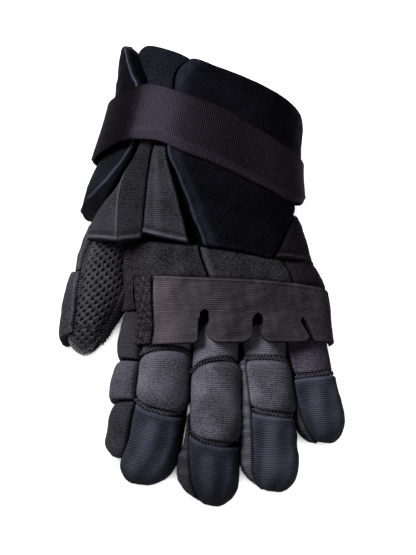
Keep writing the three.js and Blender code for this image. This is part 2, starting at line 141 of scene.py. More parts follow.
class Tube:
    """A tube of the wall round the hand, with a rounded end where it has a tip."""

    def __init__(self, rows, tip=None, slimness=None):
        self.rows = np.asarray(rows, float)
        self.tip = tip
        self.slimness = slimness

    def wall(self, y, angle):
        """Points of the wall: angle 0 is the little finger's side, 90 the back of the hand."""
        y, angle = np.broadcast_arrays(np.asarray(y, float), np.asarray(angle, float))
        _, x, half, top, bottom, skew = np.moveaxis(along(self.rows, y), -1, 0)
        if self.tip is not None:
            closing = np.sqrt(1 - np.clip((self.tip + TIP_LENGTH - y) / TIP_LENGTH, 0, 1) ** 2)
            point = bottom + (top - bottom) * TIP_HEIGHT
            half = half * closing
            top = point + (top - point) * closing
            bottom = point + (bottom - point) * closing
        turn = np.radians(angle)
        middle = bottom + (top - bottom) * MIDDLE_SHARE
        up = np.sin(turn)
        rise = np.where(up > 0, top - middle, (middle - bottom) * FLATTENING)
        across = half * bend(np.cos(turn))
        if self.slimness is not None:
            across = np.where(across > 0, across * value_at(self.slimness, y), across)
        z = np.maximum(middle + rise * bend(up), bottom)
        return np.stack([x + across, y + skew * across, z], -1)

    def normal(self, y, angle):
        around = self.wall(y, angle + 1) - self.wall(y, angle - 1)
        down = self.wall(y + 0.05, angle) - self.wall(y - 0.05, angle)
        normal = np.cross(down, around)
        return normal / np.maximum(np.linalg.norm(normal, axis=-1, keepdims=True), 1e-9)

    def over(self, y, angle, height):
        """Points at a height over the wall, and never below the floor."""
        y, angle = np.broadcast_arrays(np.asarray(y, float), np.asarray(angle, float))
        height = np.broadcast_to(height, y.shape)
        points = self.wall(y, angle) + self.normal(y, angle) * height[..., None]
        points[..., 2] = np.maximum(points[..., 2], 0)
        return points

    def angle_at(self, y, x):
        """The angle over the upper half at which the wall has this x."""
        row = along(self.rows, y)
        share = np.clip((x - row[..., 1]) / row[..., 2], -1, 1)
        return np.degrees(np.arccos(np.sign(share) * np.abs(share) ** (SQUARENESS / 2)))


def bend(value):
    return np.sign(value) * np.abs(value) ** (2 / SQUARENESS)


def finger_tube(name):
    tip, x_root, x_tip, half_root, half_tip, top_root, top_tip = FINGER_ROWS[name]
    rows = []
    for share in (1, 0.5, 0, -0.3):
        grown = max(share, 0)
        rows.append([
            KNUCKLE_Y + (tip - KNUCKLE_Y) * share,
            x_root + (x_tip - x_root) * share,
            half_root + (half_tip - half_root) * grown,
            top_root + (top_tip - top_root) * grown,
            0,
            0,
        ])
    return Tube(rows, tip)


cuff = Tube(CUFF_ROWS)
palm = Tube(PALM_ROWS)
thumb = Tube(THUMB_ROWS, THUMB_TIP, THUMB_SLIMNESS)
fingers = {name: finger_tube(name) for name in FINGER_ROWS}


# Camera, floor and light, in metres, degrees and watts
CAMERA_TARGET = (0.006718, -0.009070, 0.045)
CAMERA_ELEVATION = 75
CAMERA_DISTANCE = 0.7
CAMERA_LENS = 63.95
SENSOR_WIDTH = 36
SKY_STRENGTH = 0.2
# The lights: place, aim, size, power
LIGHTS = {
    "key_light": ((-0.62, 0.32, 0.8), (0, 0, 0.03), 0.5, 26),
    "fill_light": ((0.6, -0.7, 0.9), (0, 0, 0.03), 0.9, 3),
    "floor_light": ((0, 0, 1.6), (0, 0, 0), 1.6, 70),
}
FLOOR_SIZE = 20
FLOOR_DROP = 0.0004


def place_camera():
    elevation = math.radians(CAMERA_ELEVATION)
    back = Vector((0, -math.cos(elevation), math.sin(elevation)))
    bpy.ops.object.camera_add(location=Vector(CAMERA_TARGET) + back * CAMERA_DISTANCE)
    camera = bpy.context.object
    camera.rotation_euler = (-back).to_track_quat("-Z", "Y").to_euler()
    camera.data.sensor_width = SENSOR_WIDTH
    camera.data.lens = CAMERA_LENS
    scene.camera = camera


def add_floor():
    bpy.ops.mesh.primitive_plane_add(size=FLOOR_SIZE, location=(0, 0, -FLOOR_DROP))
    floor = bpy.context.object
    floor.name = "floor"
    floor.data.materials.append(materials["floor"])
    floor.visible_diffuse = False


def add_light(name, place, aim, size, power):
    bpy.ops.object.light_add(type="AREA", location=place)
    light = bpy.context.object
    light.name = name
    light.data.shape = "DISK"
    light.data.size = size
    light.data.energy = power
    light.rotation_euler = (Vector(aim) - Vector(place)).to_track_quat("-Z", "Y").to_euler()
    return light


def light_the_scene():
    """Soft light from the upper left for the glove, and a plain overhead light for the floor."""
    world = bpy.data.worlds.new("studio")
    world.use_nodes = True
    background = world.node_tree.nodes["Background"]
    background.inputs["Color"].default_value = (1.0, 1.0, 1.0, 1.0)
    background.inputs["Strength"].default_value = SKY_STRENGTH
    scene.world = world
    glove = bpy.data.collections.new("lit_by_key")
    ground = bpy.data.collections.new("lit_from_above")
    for piece in bpy.data.objects:
        if piece.type == "MESH":
            (ground if piece.name == "floor" else glove).objects.link(piece)
    for name, settings in LIGHTS.items():
        light = add_light(name, *settings)
        light.light_linking.receiver_collection = ground if name == "floor_light" else glove
    scene.view_settings.view_transform = "Standard"


# Materials

# Tints, over a cloth's mean tone
NAVY = (1, 0.97, 1.22)
DEEP_NAVY = (1, 1, 1.5)
BLUE_BLACK = (1, 1, 1.6)
LINER_BLACK = (1, 0.95, 1.2)
BROWN = (1.05, 0.88, 1.02)
PLUM = (1.05, 0.88, 1.25)
# Knits: mean tone, tint, pitch of the ribs, how far they show, their depth
KNITS = {
    "dark knit": (0.032, NAVY, 0.0015, 0.5, 0.0004),
    "finger knit": (0.044, NAVY, 0.00145, 0.5, 0.0004),
    "little knit": (0.031, PLUM, 0.0015, 0.5, 0.0004),
    "side knit": (0.027, NAVY, 0.0015, 0.5, 0.0004),
    "tip knit": (0.0165, DEEP_NAVY, 0.0015, 0.8, 0.0004),
    "middle tip knit": (0.0115, DEEP_NAVY, 0.0015, 0.7, 0.0004),
    "strip knit": (0.026, NAVY, 0.0014, 0.75, 0.0004),
    "thumb knit": (0.022, NAVY, 0.0015, 0.3, 0.0004),
    "web knit": (0.011, BROWN, 0.0015, 0.3, 0.0004),
    "wedge knit": (0.0145, NAVY, 0.0015, 0.5, 0.0004),
    # A darker copy of the wedge knit for wedge 4, which faces away from the key light: its lower tone is
    # painted shade.
    "shaded wedge knit": (0.0042, PLUM, 0.0015, 0.2, 0.0004),
    "back knit": (0.0105, NAVY, 0.0015, 0.15, 0.0003),
    "back cloth": (0.0062, PLUM, 0.001, 0.15, 0.0002),
    "flap cloth": (0.0165, BROWN, 0.0014, 0.7, 0.0004),
    "patch cloth": (0.0125, BROWN, 0.0012, 0.3, 0.0006),
}
# Smooth cloths: mean tone, tint, how pale their tone for wear and painted highlights is
SMOOTH_CLOTHS = {
    "smooth cloth": (0.0017, BLUE_BLACK, 12),
    "inner cloth": (0.0044, DEEP_NAVY, 6),
    "side cloth": (0.0048, DEEP_NAVY, 11),
}


class Graph:
    """Adds nodes to a tree and links their inputs, one line for each node."""

    def __init__(self, tree):
        self.tree = tree

    def add(self, kind, inputs=None, **settings):
        node = self.tree.nodes.new(kind)
        for name, value in settings.items():
            setattr(node, name, value)
        for name, value in (inputs or {}).items():
            if isinstance(value, bpy.types.NodeSocket):
                self.tree.links.new(value, node.inputs[name])
            else:
                node.inputs[name].default_value = value
        return node

    def math(self, operation, *values):
        node = self.add("ShaderNodeMath", dict(enumerate(values)), operation=operation)
        return node.outputs[0]

    def mix(self, factor, a, b):
        node = self.add("ShaderNodeMix", data_type="RGBA")
        for name, value in (("Factor_Float", factor), ("A_Color", a), ("B_Color", b)):
            socket = next(s for s in node.inputs if s.identifier == name)
            if isinstance(value, bpy.types.NodeSocket):
                self.tree.links.new(value, socket)
            else:
                socket.default_value = value
        return next(s for s in node.outputs if s.identifier == "Result_Color")

    def noise(self, vector, scale, detail=2.0):
        node = self.add("ShaderNodeTexNoise", {"Vector": vector, "Scale": scale, "Detail": detail})
        return node.outputs[0]

    def wave(self, phase):
        """A smooth wave from 0 to 1, once for each whole number of phase."""
        turn = self.math("MULTIPLY", phase, 2 * math.pi)
        return self.math("MULTIPLY_ADD", self.math("COSINE", turn), 0.5, 0.5)

    def nap(self, fibre_scale=850.0):
        """The loose fibres and brushed patches of the cloth."""
        place = self.add("ShaderNodeTexCoord").outputs["Object"]
        inputs = {"Place": place, "Fibre Scale": fibre_scale}
        return self.add("ShaderNodeGroup", inputs, node_tree=groups["nap"]).outputs


def new_group(name, inputs, outputs):
    tree = bpy.data.node_groups.new(name, "ShaderNodeTree")
    for label, kind, value in inputs:
        socket = tree.interface.new_socket(name=label, in_out="INPUT", socket_type=kind)
        if value is not None:
            socket.default_value = value
    for label, kind in outputs:
        tree.interface.new_socket(name=label, in_out="OUTPUT", socket_type=kind)
    graph = Graph(tree)
    start = graph.add("NodeGroupInput")
    end = graph.add("NodeGroupOutput")
    return graph, start.outputs, end


def make_rib_group():
    """Ribs of a knit that run across the cloth, each a row of small loops."""
    graph, given, end = new_group(
        "ribbed knit",
        [
            ("Cloth", "NodeSocketVector", None),
            ("Rib Pitch", "NodeSocketFloat", 0.0015),
            ("Loop Pitch", "NodeSocketFloat", 0.0011),
            ("Wander", "NodeSocketFloat", 0.7),
        ],
        [("Height", "NodeSocketFloat"), ("Rib", "NodeSocketFloat")],
    )
    place = graph.add("ShaderNodeSeparateXYZ", {0: given["Cloth"]})
    wander = graph.noise(given["Cloth"], 110.0, 2.0)
    shift = graph.math("MULTIPLY", graph.math("SUBTRACT", wander, 0.5), given["Wander"])
    phase = graph.math("ADD", graph.math("DIVIDE", place.outputs["Y"], given["Rib Pitch"]), shift)
    rib = graph.wave(phase)
    row = graph.math("MULTIPLY", graph.math("FLOOR", graph.math("ADD", phase, 0.5)), 0.5)
    column = graph.math("DIVIDE", place.outputs["X"], given["Loop Pitch"])
    loops = graph.wave(graph.math("ADD", column, row))
    height = graph.math("MULTIPLY", rib, graph.math("MULTIPLY_ADD", loops, 0.45, 0.55))
    graph.tree.links.new(height, end.inputs["Height"])
    graph.tree.links.new(rib, end.inputs["Rib"])
    return graph.tree


def make_nap_group():
    """Loose fibres: a fine speckle, and broad patches where the cloth is brushed lighter."""
    graph, given, end = new_group(
        "nap",
        [
            ("Place", "NodeSocketVector", None),
            ("Fibre Scale", "NodeSocketFloat", 850.0),
            ("Patch Scale", "NodeSocketFloat", 55.0),
        ],
        [("Fibres", "NodeSocketFloat"), ("Patches", "NodeSocketFloat")],
    )
    fine = graph.noise(given["Place"], given["Fibre Scale"], 3.0)
    broad = graph.noise(given["Place"], given["Patch Scale"], 3.0)
    sharp = graph.add("ShaderNodeMapRange", {"Value": fine, "From Min": 0.35, "From Max": 0.68})
    graph.tree.links.new(sharp.outputs[0], end.inputs["Fibres"])
    spread = graph.add("ShaderNodeMapRange", {"Value": broad, "From Min": 0.3, "From Max": 0.7})
    graph.tree.links.new(spread.outputs[0], end.inputs["Patches"])
    return graph.tree


def new_material(name, roughness, sheen=0.0, sheen_tint=(1, 1, 1), specular=0.03, gloss_tint=(1, 1, 1)):
    material = bpy.data.materials.new(name)
    material.use_nodes = True
    shader = material.node_tree.nodes["Principled BSDF"]
    shader.inputs["Roughness"].default_value = roughness
    shader.inputs["Specular IOR Level"].default_value = specular
    shader.inputs["Specular Tint"].default_value = (*gloss_tint, 1)
    shader.inputs["Sheen Weight"].default_value = sheen
    shader.inputs["Sheen Roughness"].default_value = 0.45
    shader.inputs["Sheen Tint"].default_value = (*sheen_tint, 1)
    return material, Graph(material.node_tree), shader


def finish_cloth(graph, shader, tones, share, height, depth):
    """Colours the cloth between its dark and light tone by share. Where its attribute of wear and painted
    light is above 0 it is paler, for wear and for painted highlights; where it is below 0 it is darkened
    nearly to black, as painted shade in seams and hollows. Raises it by height."""
    dark, light, pale, deep = tones
    painted_light_and_wear = graph.add("ShaderNodeAttribute", attribute_name="painted_light_and_wear").outputs["Fac"]
    colour = graph.mix(share, (*dark, 1), (*light, 1))
    light_and_wear_amount = graph.math("MULTIPLY", painted_light_and_wear, graph.math("MULTIPLY_ADD", share, 1.2, 0.5))
    colour = graph.mix(light_and_wear_amount, colour, (*pale, 1))
    # Painted shade: negative values darken the cloth towards its deepest tone.
    colour = graph.mix(graph.math("MULTIPLY", painted_light_and_wear, -1.0), colour, (*deep, 1))
    graph.tree.links.new(colour, shader.inputs["Base Color"])
    bump = graph.add("ShaderNodeBump", {"Height": height, "Strength": 1.0, "Distance": depth})
    graph.tree.links.new(bump.outputs[0], shader.inputs["Normal"])


# A cloth's dark and light tones, and its deepest tone for painted shade, over its mean tone
DARK_SHARE = 0.2
LIGHT_SHARE = 2.3
SHADE_SHARE = 0.08


def shades(level, tint, pale=4.0):
    """A cloth's dark and light tones, its pale tone for wear and painted highlights, and its deepest tone for
    painted shade, for its mean level.
    """
    return [tuple(level * part * channel for channel in tint)
            for part in (DARK_SHARE, LIGHT_SHARE, pale, SHADE_SHARE)]


def knit_material(name, level, tint, pitch, ribs, depth):
    """Ribbed knit. ribs is how far the ribs show over the fibres."""
    material, graph, shader = new_material(name, roughness=0.92, sheen=0.006, sheen_tint=(0.85, 0.87, 1))
    cloth = graph.add("ShaderNodeUVMap", uv_map="cloth").outputs[0]
    knit = graph.add("ShaderNodeGroup", {"Cloth": cloth, "Rib Pitch": pitch}, node_tree=groups["ribbed knit"])
    nap = graph.nap()
    tone = graph.math("MULTIPLY_ADD", knit.outputs["Height"], ribs, -0.14)
    tone = graph.math("MULTIPLY_ADD", nap["Fibres"], 0.95 - ribs, tone)
    tone = graph.math("MULTIPLY_ADD", nap["Patches"], 0.3, tone)
    height = graph.math("MULTIPLY_ADD", nap["Fibres"], 0.5, knit.outputs["Height"])
    finish_cloth(graph, shader, shades(level, tint), tone, height, depth)
    return material


def smooth_material(name, level, tint, pale):
    """Close, smooth cloth with only a fine speckle."""
    material, graph, shader = new_material(name, roughness=0.8, specular=0.015, gloss_tint=(0.7, 0.7, 1))
    nap = graph.nap(fibre_scale=1100.0)
    tone = graph.math("MULTIPLY_ADD", nap["Patches"], 0.3, -0.1)
    tone = graph.math("MULTIPLY_ADD", nap["Fibres"], 0.8, tone)
    finish_cloth(graph, shader, shades(level, tint, pale), tone, nap["Fibres"], depth=0.00022)
    return material


# The webbing's columns and stitches, in metres
WEBBING_COLUMN = 0.0015
WEBBING_STITCH = 0.0014


def webbing_material(level, tint):
    """Elastic webbing: columns across the strap, each a stack of short stitches."""
    material, graph, shader = new_material(
        "elastic webbing", roughness=0.6, specular=0.01, gloss_tint=(0.7, 0.65, 1)
    )
    cloth = graph.add("ShaderNodeUVMap", uv_map="cloth").outputs[0]
    place = graph.add("ShaderNodeSeparateXYZ", {0: cloth}).outputs
    nap = graph.nap()
    phase = graph.math("DIVIDE", place["X"], WEBBING_COLUMN)
    row = graph.math("MULTIPLY", graph.math("FLOOR", graph.math("ADD", phase, 0.5)), 0.5)
    stitch = graph.wave(graph.math("ADD", graph.math("DIVIDE", place["Y"], WEBBING_STITCH), row))
    height = graph.math("MULTIPLY", graph.wave(phase), graph.math("MULTIPLY_ADD", stitch, 0.6, 0.4))
    tone = graph.math("MULTIPLY_ADD", height, 1.15, graph.math("MULTIPLY", nap["Patches"], 0.15))
    tone = graph.math("MULTIPLY_ADD", nap["Fibres"], 0.4, graph.math("SUBTRACT", tone, 0.24))
    # The pale tone is what the strap's painted sheen mixes towards.
    finish_cloth(graph, shader, shades(level, tint, pale=5.5), tone, height, depth=0.0004)
    return material


def leather_material(level, tint):
    """Perforated synthetic leather: dark, with fine pores and a little gloss."""
    material, graph, shader = new_material(
        "perforated leather", roughness=0.36, specular=0.16, gloss_tint=(0.9, 0.86, 1)
    )
    nap = graph.nap(fibre_scale=900.0)
    tone = graph.math("MULTIPLY_ADD", nap["Patches"], 0.5, graph.math("MULTIPLY", nap["Fibres"], 0.4))
    finish_cloth(graph, shader, shades(level, tint), tone, nap["Fibres"], depth=0.0003)
    return material


def fibre_material(name, level, tint, roughness, sheen, fibre_scale, depth):
    """Plain cloth or thick thread that shows only its fibres."""
    material, graph, shader = new_material(name, roughness, sheen)
    fibres = graph.nap(fibre_scale)["Fibres"]
    finish_cloth(graph, shader, shades(level, tint), fibres, fibres, depth)
    return material


def thread_material(name, level):
    return fibre_material(name, level, NAVY, roughness=0.8, sheen=0.04, fibre_scale=2000.0, depth=0.0002)


def floor_material():
    material, graph, shader = new_material("pale floor", roughness=0.9, specular=0.1)
    tone = graph.noise(graph.add("ShaderNodeTexCoord").outputs["Object"], 4.0)
    dark, light = (0.86,) * 3, (0.9,) * 3
    finish_cloth(graph, shader, [dark, light, light, dark], tone, tone, depth=0.00001)
    return material


# Mesh work


def shares(count, closeness=0.5):
    """Shares from 0 to 1, closer together near both ends."""
    even = np.linspace(0, 1, count)
    return closeness * (0.5 - 0.5 * np.cos(np.pi * even)) + (1 - closeness) * even


def lengths(points, axis):
    """The distance along the grid's rows or columns, from their first point."""
    steps = np.linalg.norm(np.diff(points, axis=axis), axis=-1)
    start = np.zeros_like(np.take(steps, [0], axis=axis))
    return np.concatenate([start, np.cumsum(steps, axis=axis)], axis=axis)


def unevenness(points, size, seed):
    """A smooth value of about -1 to 1 at each point, which changes over about size mm."""
    draw = np.random.default_rng(seed)
    total = np.zeros(points.shape[:-1])
    for _ in range(8):
        direction = draw.normal(size=3)
        direction *= draw.uniform(0.6, 1.5) / np.linalg.norm(direction)
        total += np.sin(points @ direction * (2 * np.pi / size) + draw.uniform(0, 2 * np.pi))
    return total / 4


def rounded(distance, radius):
    """How full a stuffed edge is at a distance from its seam: 0 at the seam, 1 from radius on."""
    return np.sqrt(1 - (1 - np.clip(distance / radius, 0, 1)) ** 2)


def smooth_step(value, start, end):
    t = np.clip((value - start) / (end - start), 0, 1)
    return t * t * (3 - 2 * t)


def window(value, start, full, fading, end):
    """1 from full to fading, and falling smoothly to 0 at start and at end."""
    return smooth_step(value, start, full) * (1 - smooth_step(value, fading, end))


def place_vertices(mesh, points):
    mesh.vertices.foreach_set("co", ((points + SHIFT) * MM).astype(np.float32).ravel())


def copied(piece, points):
    """A copy of a piece with its vertices at the given points."""
    copy = piece.copy()
    copy.data = piece.data.copy()
    scene.collection.objects.link(copy)
    place_vertices(copy.data, points)
    return copy


def cloth_grid(name, points, painted_light_and_wear=0.0):
    """A grid primitive moved to points, with a UV map in metres of cloth and an attribute of its wear and its
    painted light and shade.
    """
    rows, columns = points.shape[:2]
    bpy.ops.mesh.primitive_grid_add(
        x_subdivisions=columns - 1, y_subdivisions=rows - 1, size=1, calc_uvs=True
    )
    piece = bpy.context.object
    piece.name = name
    mesh = piece.data
    place_vertices(mesh, points)
    across = lengths(points, 1)
    down = lengths(points, 0)
    middle = columns // 2
    middle_down = np.broadcast_to(down[:, middle:middle + 1], across.shape)
    cloth = np.stack([across - across[:, middle:middle + 1], middle_down], -1)
    corners = np.empty(len(mesh.loops), np.int32)
    mesh.loops.foreach_get("vertex_index", corners)
    mesh.uv_layers.active.name = "cloth"
    uv = cloth.reshape(-1, 2)[corners] * MM
    mesh.uv_layers["cloth"].data.foreach_set("uv", uv.astype(np.float32).ravel())
    light_and_wear_amount = np.broadcast_to(painted_light_and_wear, (rows, columns)).astype(np.float32)
    mesh.attributes.new("painted_light_and_wear", "FLOAT", "POINT").data.foreach_set("value", light_and_wear_amount.ravel())
    mesh.update()
    return piece


def select_only(*pieces):
    bpy.ops.object.select_all(action="DESELECT")
    for piece in pieces:
        piece.select_set(True)
    bpy.context.view_layer.objects.active = pieces[0]


def joined(pieces):
    select_only(*pieces)
    bpy.ops.object.join()
    return pieces[0]


def sewn_shut(piece):
    """Merges the edges that meet, and points every face outwards."""
    select_only(piece)
    bpy.ops.object.mode_set(mode="EDIT")
    bpy.ops.mesh.select_all(action="SELECT")
    bpy.ops.mesh.remove_doubles(threshold=1e-6)
    bpy.ops.mesh.normals_make_consistent(inside=False)
    bpy.ops.object.mode_set(mode="OBJECT")
    count = len(piece.data.polygons)
    centres, normals, areas = np.empty(count * 3), np.empty(count * 3), np.empty(count)
    piece.data.polygons.foreach_get("center", centres)
    piece.data.polygons.foreach_get("normal", normals)
    piece.data.polygons.foreach_get("area", areas)
    centres = centres.reshape(-1, 3)
    outwards = np.sum((centres - centres.mean(0)) * normals.reshape(-1, 3), axis=1) @ areas
    if outwards < 0:
        piece.data.flip_normals()
    bpy.ops.object.shade_smooth()
    return piece


def pad_between(name, top, bottom, painted_light_and_wear=0.0):
    """A closed pad between two grids that share their border."""
    # The underside is darkened a little as painted shade.
    return sewn_shut(joined([cloth_grid(name, top, painted_light_and_wear), cloth_grid(name + "_back", bottom, -0.3)]))


def thicken(piece, thickness):
    """Gives a one-sided cloth its thickness, inwards."""
    select_only(piece)
    modifier = piece.modifiers.new("wall", "SOLIDIFY")
    modifier.thickness = thickness * MM
    modifier.offset = -1
    modifier.use_even_offset = False
    bpy.ops.object.modifier_apply(modifier=modifier.name)
    return piece


def lay_out(tube, lines, size, arch=(0, 0), corner=(0, 0), peak=(0.5, 1, 0)):
    """Places a pad's grid on a tube. Each line is its y at the left and right end, its left and right
    angle, and its low and high side over the wall. arch bows the first and last lines outwards in the
    middle, corner draws their ends inwards, in mm, and peak is the place, width and height of a bulge
    in the first line."""
    columns, rows = size
    v, u = np.meshgrid(shares(rows), shares(columns), indexing="ij")
    numbered = np.column_stack([np.arange(len(lines)), lines])
    line = along(numbered, v * (len(lines) - 1))
    y_left, y_right, left, right, low, high = np.moveaxis(line[..., 1:], -1, 0)
    off = 2 * u - 1
    bulge = peak[2] * np.exp(-(((u - peak[0]) / peak[1]) ** 2))
    first = (1 - v) ** 2 * (arch[0] * (1 - off**2) - corner[0] * off**6 + bulge)
    final = v**2 * (arch[1] * (1 - off**2) - corner[1] * off**6)
    y = y_left + (y_right - y_left) * u + first - final
    angle = left + (right - left) * u
    flat = tube.over(y, angle, (low + high) / 2)
    across, down = lengths(flat, 1), lengths(flat, 0)
    return SimpleNamespace(
        tube=tube, u=u, v=v, y=y, angle=angle, low=low, high=high, flat=flat, across=across, down=down,
        from_left=across, from_right=across[:, -1:] - across, from_start=down, from_end=down[-1:] - down,
    )


def dome(lay, round_side, round_end, crown=(0.5, 0.5), keep=(0, 0), tilt=(1, 1), shut=1.2):
    """A stuffed pad's height over the wall, rounded at its edges. crown is how thick the left and
    right sides are, keep how much of that the sides and ends keep at a seam, tilt leans it, and
    shut is how far from the seam it reaches that height."""
    side_gap = np.minimum(lay.from_left, lay.from_right)
    end_gap = np.minimum(lay.from_start, lay.from_end)
    side = keep[0] + (1 - keep[0]) * rounded(side_gap, round_side)
    end = keep[1] + (1 - keep[1]) * rounded(end_gap, round_end)
    closed = rounded(np.minimum(side_gap, end_gap), shut)
    at_left = 1 - np.sin(np.pi / 2 * np.clip(lay.u / 0.45, 0, 1))
    at_right = 1 - np.sin(np.pi / 2 * np.clip((1 - lay.u) / 0.45, 0, 1))
    shape = 1 + (crown[0] - 1) * at_left + (crown[1] - 1) * at_right
    shape = shape * (tilt[0] + (tilt[1] - tilt[0]) * lay.u)
    return lay.low + (lay.high - lay.low) * side * end * closed * shape


def seam_shade_and_lip_light(lay, seam=0.9, lip=0.25, sides="both"):
    """Painted light on a pad: painted shade darkens its seams, and a painted highlight lightens the lip
    beside them.
    """
    near = np.minimum(lay.from_start, lay.from_end)
    if sides != "right":
        near = np.minimum(near, lay.from_left)
    if sides != "left":
        near = np.minimum(near, lay.from_right)
    return lip * ridge(near, 2.4, 1.2) - seam * np.exp(-((near / 0.9) ** 2))


def ridge(distance, place, width):
    """A rounded ridge or groove at a distance from an edge."""
    return np.exp(-(((distance - place) / width) ** 2))


def puckers(lay, depth, pitch=3.4, reach=2.6):
    """Small gathers along the seams at a pad's two ends."""
    wander = unevenness(lay.flat, 14, 5) * 0.8
    wave = 0.5 + 0.5 * np.cos(2 * np.pi * lay.across / pitch + wander)
    near = np.exp(-lay.from_start / reach) + np.exp(-lay.from_end / reach)
    inside = rounded(np.minimum(lay.from_start, lay.from_end), 1.2)
    return -depth * wave * near * inside


def stuffed(name, lay, height, painted_light_and_wear=None, rough=1.0):
    """The pad's mesh, from its layout and its height over the wall."""
    near = np.minimum(np.minimum(lay.from_left, lay.from_right), np.minimum(lay.from_start, lay.from_end))
    uneven = 0.35 * unevenness(lay.flat, 17, 11) + 0.14 * unevenness(lay.flat, 6, 12)
    height = height + rough * rounded(near, 5) * uneven
    top = lay.tube.over(lay.y, lay.angle, np.maximum(height, lay.low))
    bottom = lay.tube.over(lay.y, lay.angle, lay.low)
    for edge in (np.s_[0, :], np.s_[-1, :], np.s_[:, 0], np.s_[:, -1]):
        top[edge] = bottom[edge]
    return pad_between(name, top, bottom, seam_shade_and_lip_light(lay) if painted_light_and_wear is None else painted_light_and_wear)


def dress(piece, material, node=None):
    """Gives a piece its material, attaches it to the root body and hides the part it stands for."""
    piece.data.materials.clear()
    piece.data.materials.append(materials[material])
    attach(piece, "root")
    if node:
        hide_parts(node)
    return piece


# The wall round the hand


def tube_places(tip, root, steps):
    """Places from a rounded tip to the root."""
    turns = np.radians(np.linspace(90, 0, 12))[:-1]
    start = tip + TIP_LENGTH
    return np.concatenate([start - TIP_LENGTH * np.sin(turns), np.linspace(start, root, steps)])


def wall_piece(name, tube, places, columns, swell=None, rim=None, painted_light_and_wear=0.0):
    """A tube of the wall. swell gives how far it stands out, and rim how far its edge rises."""
    angles = np.linspace(-90, 270, columns)
    y, angle = np.meshgrid(places, angles, indexing="ij")
    if rim is not None:
        y = y + rim(angle) * ((y - places[0]) / (places[-1] - places[0])) ** 4
    points = tube.wall(y, angle) if swell is None else tube.over(y, angle, swell(y, angle))
    piece = sewn_shut(cloth_grid(name, points, painted_light_and_wear))
    return thicken(piece, WALL)


# Where the fingers press together: y and x of each line between two of them
MEETINGS = {
    "index_middle": [
        (-152, -14.5), (-144, -18.2), (-136, -22), (-130, -23), (-125, -21.5), (-117, -17.6), (-102, -15.2),
        (-92, -13.5), (-30, -13.4),
    ],
    "middle_ring": [
        (-148, 33), (-140, 28.5), (-130, 23.5), (-120, 21.9), (-66, 21.9), (-38, 19.5), (-30, 19.5),
    ],
    "ring_little": [(-150, 61), (-90, 61), (-80, 60), (-60, 54.6), (-38, 51.5), (-30, 51.5)],
}
NEIGHBOURS = {
    "index": (None, "index_middle"),
    "middle": ("index_middle", "middle_ring"),
    "ring": ("middle_ring", "ring_little"),
    "little": ("ring_little", None),
}


# The angles between which a finger's lower left and right side swell, and the y down to which they do
LEFT_SWELL = (188, 205, 225, 262)
RIGHT_SWELL = (8, 25, 45, 82)
SWELL_ENDS = {"index": (-160, -128), "middle": (-110, -135), "ring": (-60, -135), "little": (-70, -160)}
# How far a side swells past the line where two fingers meet, and where there is no next finger
PRESSED = 0.9
FREE_SWELL = 0.3
# The little finger's swelling beside its upper seam: height, y and half length
LITTLE_BULGE = (4.5, -64.5, 4.5)
# The room kept between a pad and the line where two fingers meet, and the least that a side swells
PAD_ROOM = 0.35
LEAST_SWELL = 0.3
# Painted shade on the walls inside the glove: how far their cloth is darkened towards its deepest tone
INSIDE_SHADE = -0.95


def reach(finger, side, y, free):
    """How far a finger's side may swell before it meets the next finger: side 0 is left, 1 right.
    Where there is no next finger, it is free."""
    y = np.asarray(y, float)
    line = NEIGHBOURS[finger][side]
    if line is None:
        return np.full(y.shape, free)
    places = np.asarray(MEETINGS[line])
    row = along(fingers[finger].rows, y)
    wall = row[..., 1] + (1 if side else -1) * row[..., 2]
    gap = np.abs(np.interp(y, places[:, 0], places[:, 1]) - wall) - PAD_ROOM
    return np.maximum(gap, LEAST_SWELL)


def finger_swell(finger):
    """The swelling of a finger's lower sides."""
    left_end, right_end = SWELL_ENDS[finger]

    def swell(y, angle):
        left, right = [PRESSED + reach(finger, side, y, FREE_SWELL - PRESSED) for side in (0, 1)]
        left = left * window(angle, *LEFT_SWELL) * smooth_step(y, left_end, left_end + 5)
        right = right * window(-angle, *RIGHT_SWELL) * smooth_step(y, right_end, right_end + 8)
        if finger != "little":
            return left + right
        high, place, half_length = LITTLE_BULGE
        return left + right + high * ridge(y, place, half_length) * window(-angle, -60, -30, 20, 60)

    return swell


def cuff_rim(angle):
    """The rim rises behind the groove between the inner pad and the panel."""
    return 7 * ridge(angle, 100, 9)


def add_walls():
    places = np.linspace(WRIST_Y + JOIN_GAP, RIM_Y, 40)
    cuff_body = wall_piece("cuff_body_cloth", cuff, places, 145, rim=cuff_rim, painted_light_and_wear=INSIDE_SHADE)
    dress(cuff_body, "liner", "cuff_body")
    places = np.linspace(KNUCKLE_Y + JOIN_GAP, WRIST_Y - JOIN_GAP, 40)
    palm_body = wall_piece("palm_body_cloth", palm, places, 97, painted_light_and_wear=INSIDE_SHADE)
    dress(palm_body, "liner", "palm_body")
    places = tube_places(THUMB_TIP, WRIST_Y - JOIN_GAP, 40)
    thumb_body = wall_piece("thumb_stall_cloth", thumb, places, 65, painted_light_and_wear=INSIDE_SHADE)
    dress(thumb_body, "liner", "thumb_stall")
    for name, tube in fingers.items():
        places = tube_places(tube.tip, KNUCKLE_Y - JOIN_GAP, 50)
        stall = wall_piece(f"{name}_stall_cloth", tube, places, 97, finger_swell(name))
        dress(stall, "dark knit", f"{name}_stall")


